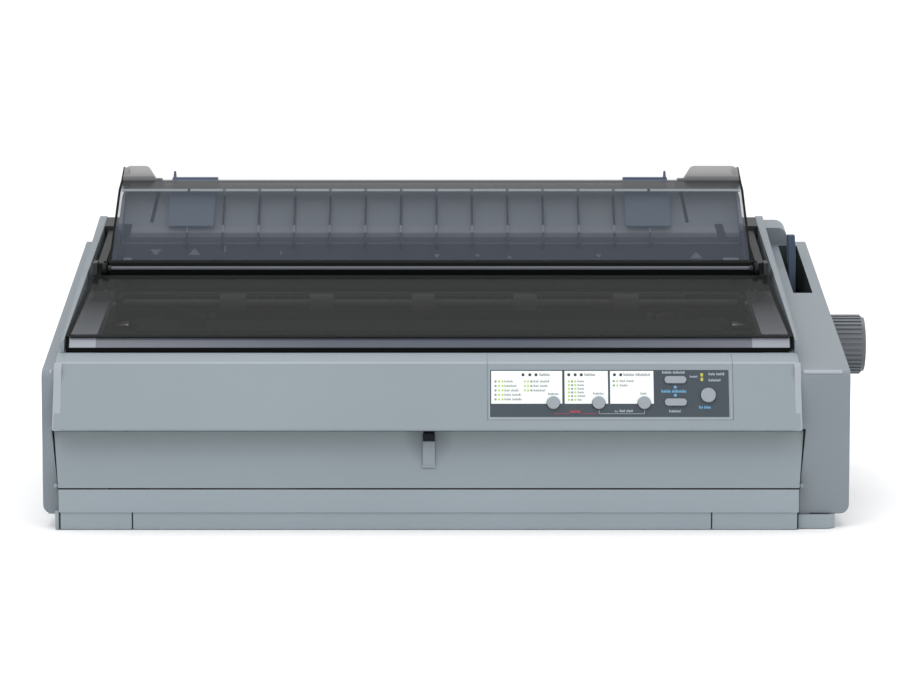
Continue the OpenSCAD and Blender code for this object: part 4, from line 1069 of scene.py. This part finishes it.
class PRINTER_OT_mechanism(PrinterPiece, bpy.types.Operator):
    """Finish the platen, the carriage, the tractors and the electrics"""
    bl_idname = "printer.mechanism"
    bl_label = "Mechanism"

    def build(self, s):
        soften("platen_knob", "knob", "platen", 0.4)
        soften("release_lever", "lever", "release", 0.8, 3)
        repaint("shaft", "platen_shaft", "carriage_shaft", "tractor_guide_shaft", "tractor_drive")
        repaint("rubber", "platen_roller")
        repaint("roller", "tension_rollers")
        repaint("gear", "platen_gear", "idler_gear", "sprocket_left", "sprocket_right")
        repaint("brass", "feed_pinion")
        repaint("steel", "side_frame_left", "side_frame_right", "carriage_rail",
                "drive_pulley", "tension_pulley", "data_ports")
        repaint("motor", "feed_motor", "carriage_motor", "print_head", "power_supply")
        repaint("belt", "timing_belt")
        repaint("board", "main_board")
        for node, body in (("carriage_frame", "carriage"), ("ribbon_cartridge", "case"),
                           ("ribbon_knob", "ribbon_turn"), ("tension_unit", "tension"),
                           ("thickness_lever", "thickness"), ("paper_chute", "case"),
                           ("tractor_left", "tractor_l"), ("tractor_right", "tractor_r"),
                           ("tractor_door_left", "door_l"), ("tractor_door_right", "door_r")):
            soften(node, "dark", body, 0.5)
        repaint("black", "power_rocker", "ac_inlet")
        self.scale()
        self.sockets()
        self.insides()

    def sockets(self):
        """Prongs, tongues and contact rows inside the rear sockets, and the rocker's mark."""
        behind = facing(out=1.0)
        prongs = [(box_outline(x - 0.9, x + 0.9, z - 2.4, z + 2.4, 0.4), 385.5, 397)
                  for x, z in ((-256, 38.4), (-250, 42.4), (-244, 38.4))]
        prisms("inlet_prongs", prongs, behind, "steel", "case", bevel=0.2)
        prism("parallel_tongue", box_outline(167.5, 212.5, 37.2, 40.8, 0.8), 393.5, 400.6, behind,
              "black", "case", bevel=0.3)
        prism("usb_tongue", box_outline(237.4, 242.6, 37.4, 40.6, 0.4), 389.5, 399.4, behind,
              "key", "case", bevel=0.3)
        contact = template("port_contacts", [(box_outline(-0.55, 0.55, -0.2, 0.2), 0.0, 5.6)],
                           at=lambda u, v, w: Vector((u, w, v)) * MM)
        grid(contact, "brass", "case", place(170.8, 394.6, 37.1), (2.26 * MM, 0, 0), 18,
             (0, 0, 3.8 * MM), 2)
        left_wall = lambda u, v, w: place(-302.0 - w, u, v)
        prism("rocker_mark_on", box_outline(64.2, 65.2, 59, 65), 0.0, 0.9, left_wall,
              "pale_ink", "power")

    def insides(self):
        """Chips and cans on the board, vents on the supply, and ribs on the head and cartridge."""
        first, pitch, board_top = -92, 42, 15.6
        chip = template("board_chips", [(box_outline(-9, 9, -4, 4, 0.4), 0.3, 3.4)], bevel=0.3)
        grid(chip, "dark", "case", place(first, 150, board_top), (pitch * MM, 0, 0), 7,
             (0, 36 * MM, 0), 3)
        for i in range(7):
            legs = template(f"chip_legs_{i}", [(box_outline(-0.35, 0.35, -5.4, 5.4), 0.0, 1.1)])
            grid(legs, "steel", "case", place(first - 7.5 + pitch * i, 150, board_top),
                 (2.5 * MM, 0, 0), 7, (0, 36 * MM, 0), 3)
        can = template("board_capacitors", [(circle(3.2, 20), 0.0, 9.0)], bevel=0.5)
        grid(can, "shaft", "case", place(-104, 330, board_top), (14 * MM, 0, 0), 6, (0, 18 * MM, 0), 2)
        vent = template("supply_vents", [(box_outline(-14, 14, -1.2, 1.2, 1.1), 0.0, 0.2)])
        supply_top, head_top, cartridge_top = 44, 125, 141.4
        # The supply's vents are dark strips of painted shade.
        grid(vent, "seam_and_shade", "case", place(-249, 212, supply_top), (36 * MM, 0, 0), 3, (0, 6 * MM, 0), 27)
        fin = template("head_fins", [(box_outline(-17.5, 17.5, -0.7, 0.7), 0.0, 2.6)], bevel=0.2)
        grid(fin, "motor", "carriage", place(-182, 133, head_top), (0, 4.2 * MM, 0), 6)
        rib = template("cartridge_ribs", [(box_outline(-8, 8, -0.7, 0.7, 0.6), 0.0, 0.7)])
        grid(rib, "dark", "case", place(-268, 96, cartridge_top), (512 * MM, 0, 0), 2, (0, 3 * MM, 0), 9)

    def scale(self):
        """Half-inch marks on the tension unit's bar."""
        bar_y, half_inch = 205.0, 12.7
        prism("scale_line", box_outline(CENTRE_X - 205, CENTRE_X + 205, 155.6, 156.1), 0.0, 0.12,
              facing(bar_y), "grey_ink", "tension")
        tick = template("scale_ticks", [(box_outline(-0.35, 0.35, -2.4, 2.0), 0.0, 0.14)],
                        at=lambda u, v, w: Vector((u, -w, v)) * MM)
        grid(tick, "grey_ink", "tension", place(CENTRE_X - 16 * half_inch, bar_y, 154.6),
             (half_inch * MM, 0, 0), 33)


class PRINTER_OT_stage(bpy.types.Operator):
    """Set the floor, the lights and the camera"""
    bl_idname = "printer.stage"
    bl_label = "Stage"

    def execute(self, context):
        scene = context.scene
        r, see = 30.0, Vector((0, 0, 0.12))
        mesh = bpy.data.meshes.new("floor")
        mesh.from_pydata([(-r, -r, 0), (r, -r, 0), (r, r, 0), (-r, r, 0)], [], [(0, 1, 2, 3)])
        floor = bpy.data.objects.new("floor", mesh)
        scene.collection.objects.link(floor)
        p = Paint("studio_floor", Roughness=0.9)
        p.set(Base_Color=p.mix(p.noise(0.4), (0.95, 0.95, 0.95, 1), (0.97, 0.97, 0.97, 1)))
        floor.data.materials.append(p.material)
        world = bpy.data.worlds.new("studio")
        world.use_nodes = True
        sky = world.node_tree.nodes["Background"].inputs
        sky[0].default_value, sky[1].default_value = (1, 1, 1, 1), 1.06
        scene.world = world
        scene.view_settings.view_transform = "Standard"
        for name, spot, size, power in (
                ("key", (-1.2, -2.4, 3.0), 2.0, 26.0), ("fill", (2.4, -2.6, 1.6), 2.2, 9.0),
                ("top", (0.0, 0.6, 2.8), 2.4, 24.0)):
            light = bpy.data.lights.new(name, "AREA")
            light.size, light.energy = size, power
            lamp = bpy.data.objects.new(name, light)
            lamp.location = spot
            lamp.rotation_euler = (see - Vector(spot)).to_track_quat("-Z", "Y").to_euler()
            scene.collection.objects.link(lamp)
        cam = bpy.data.objects.new("camera", bpy.data.cameras.new("camera"))
        cam.location = place(*CAMERA_SPOT)
        cam.rotation_euler = (math.radians(90 - CAMERA_DIP), 0, 0)
        cam.data.lens, cam.data.sensor_width = CAMERA_LENS, 36.0
        cam.data.shift_x = CAMERA_SHIFT / PICTURE_WIDTH
        cam.data.clip_start, cam.data.clip_end = 0.1, 100
        scene.collection.objects.link(cam)
        scene.camera = cam
        return {"FINISHED"}


class PRINTER_PT_panel(bpy.types.Panel):
    """Lists the printer's settings and pieces"""
    bl_label = "Dot Matrix Printer"
    bl_idname = "PRINTER_PT_panel"
    bl_space_type = "VIEW_3D"
    bl_region_type = "UI"
    bl_category = "Printer"

    def draw(self, context):
        for key in PrinterFinish.__annotations__:
            self.layout.prop(context.scene.printer_finish, key)
        for step in STEPS:
            self.layout.operator(step.bl_idname)


STEPS = (PRINTER_OT_finishes, PRINTER_OT_case, PRINTER_OT_control_panel, PRINTER_OT_covers,
         PRINTER_OT_guide, PRINTER_OT_mechanism, PRINTER_OT_stage)
CLASSES = (PrinterFinish, *STEPS, PRINTER_PT_panel)


def register():
    for c in CLASSES:
        bpy.utils.register_class(c)
    bpy.types.Scene.printer_finish = PointerProperty(type=PrinterFinish)


def unregister():
    del bpy.types.Scene.printer_finish
    for c in reversed(CLASSES):
        bpy.utils.unregister_class(c)


def main():
    register()
    for step in STEPS:
        group, name = step.bl_idname.split(".")
        if "FINISHED" not in getattr(getattr(bpy.ops, group), name)():
            raise RuntimeError(step.bl_label + " didn't finish")


if __name__ == "__main__":
    main()
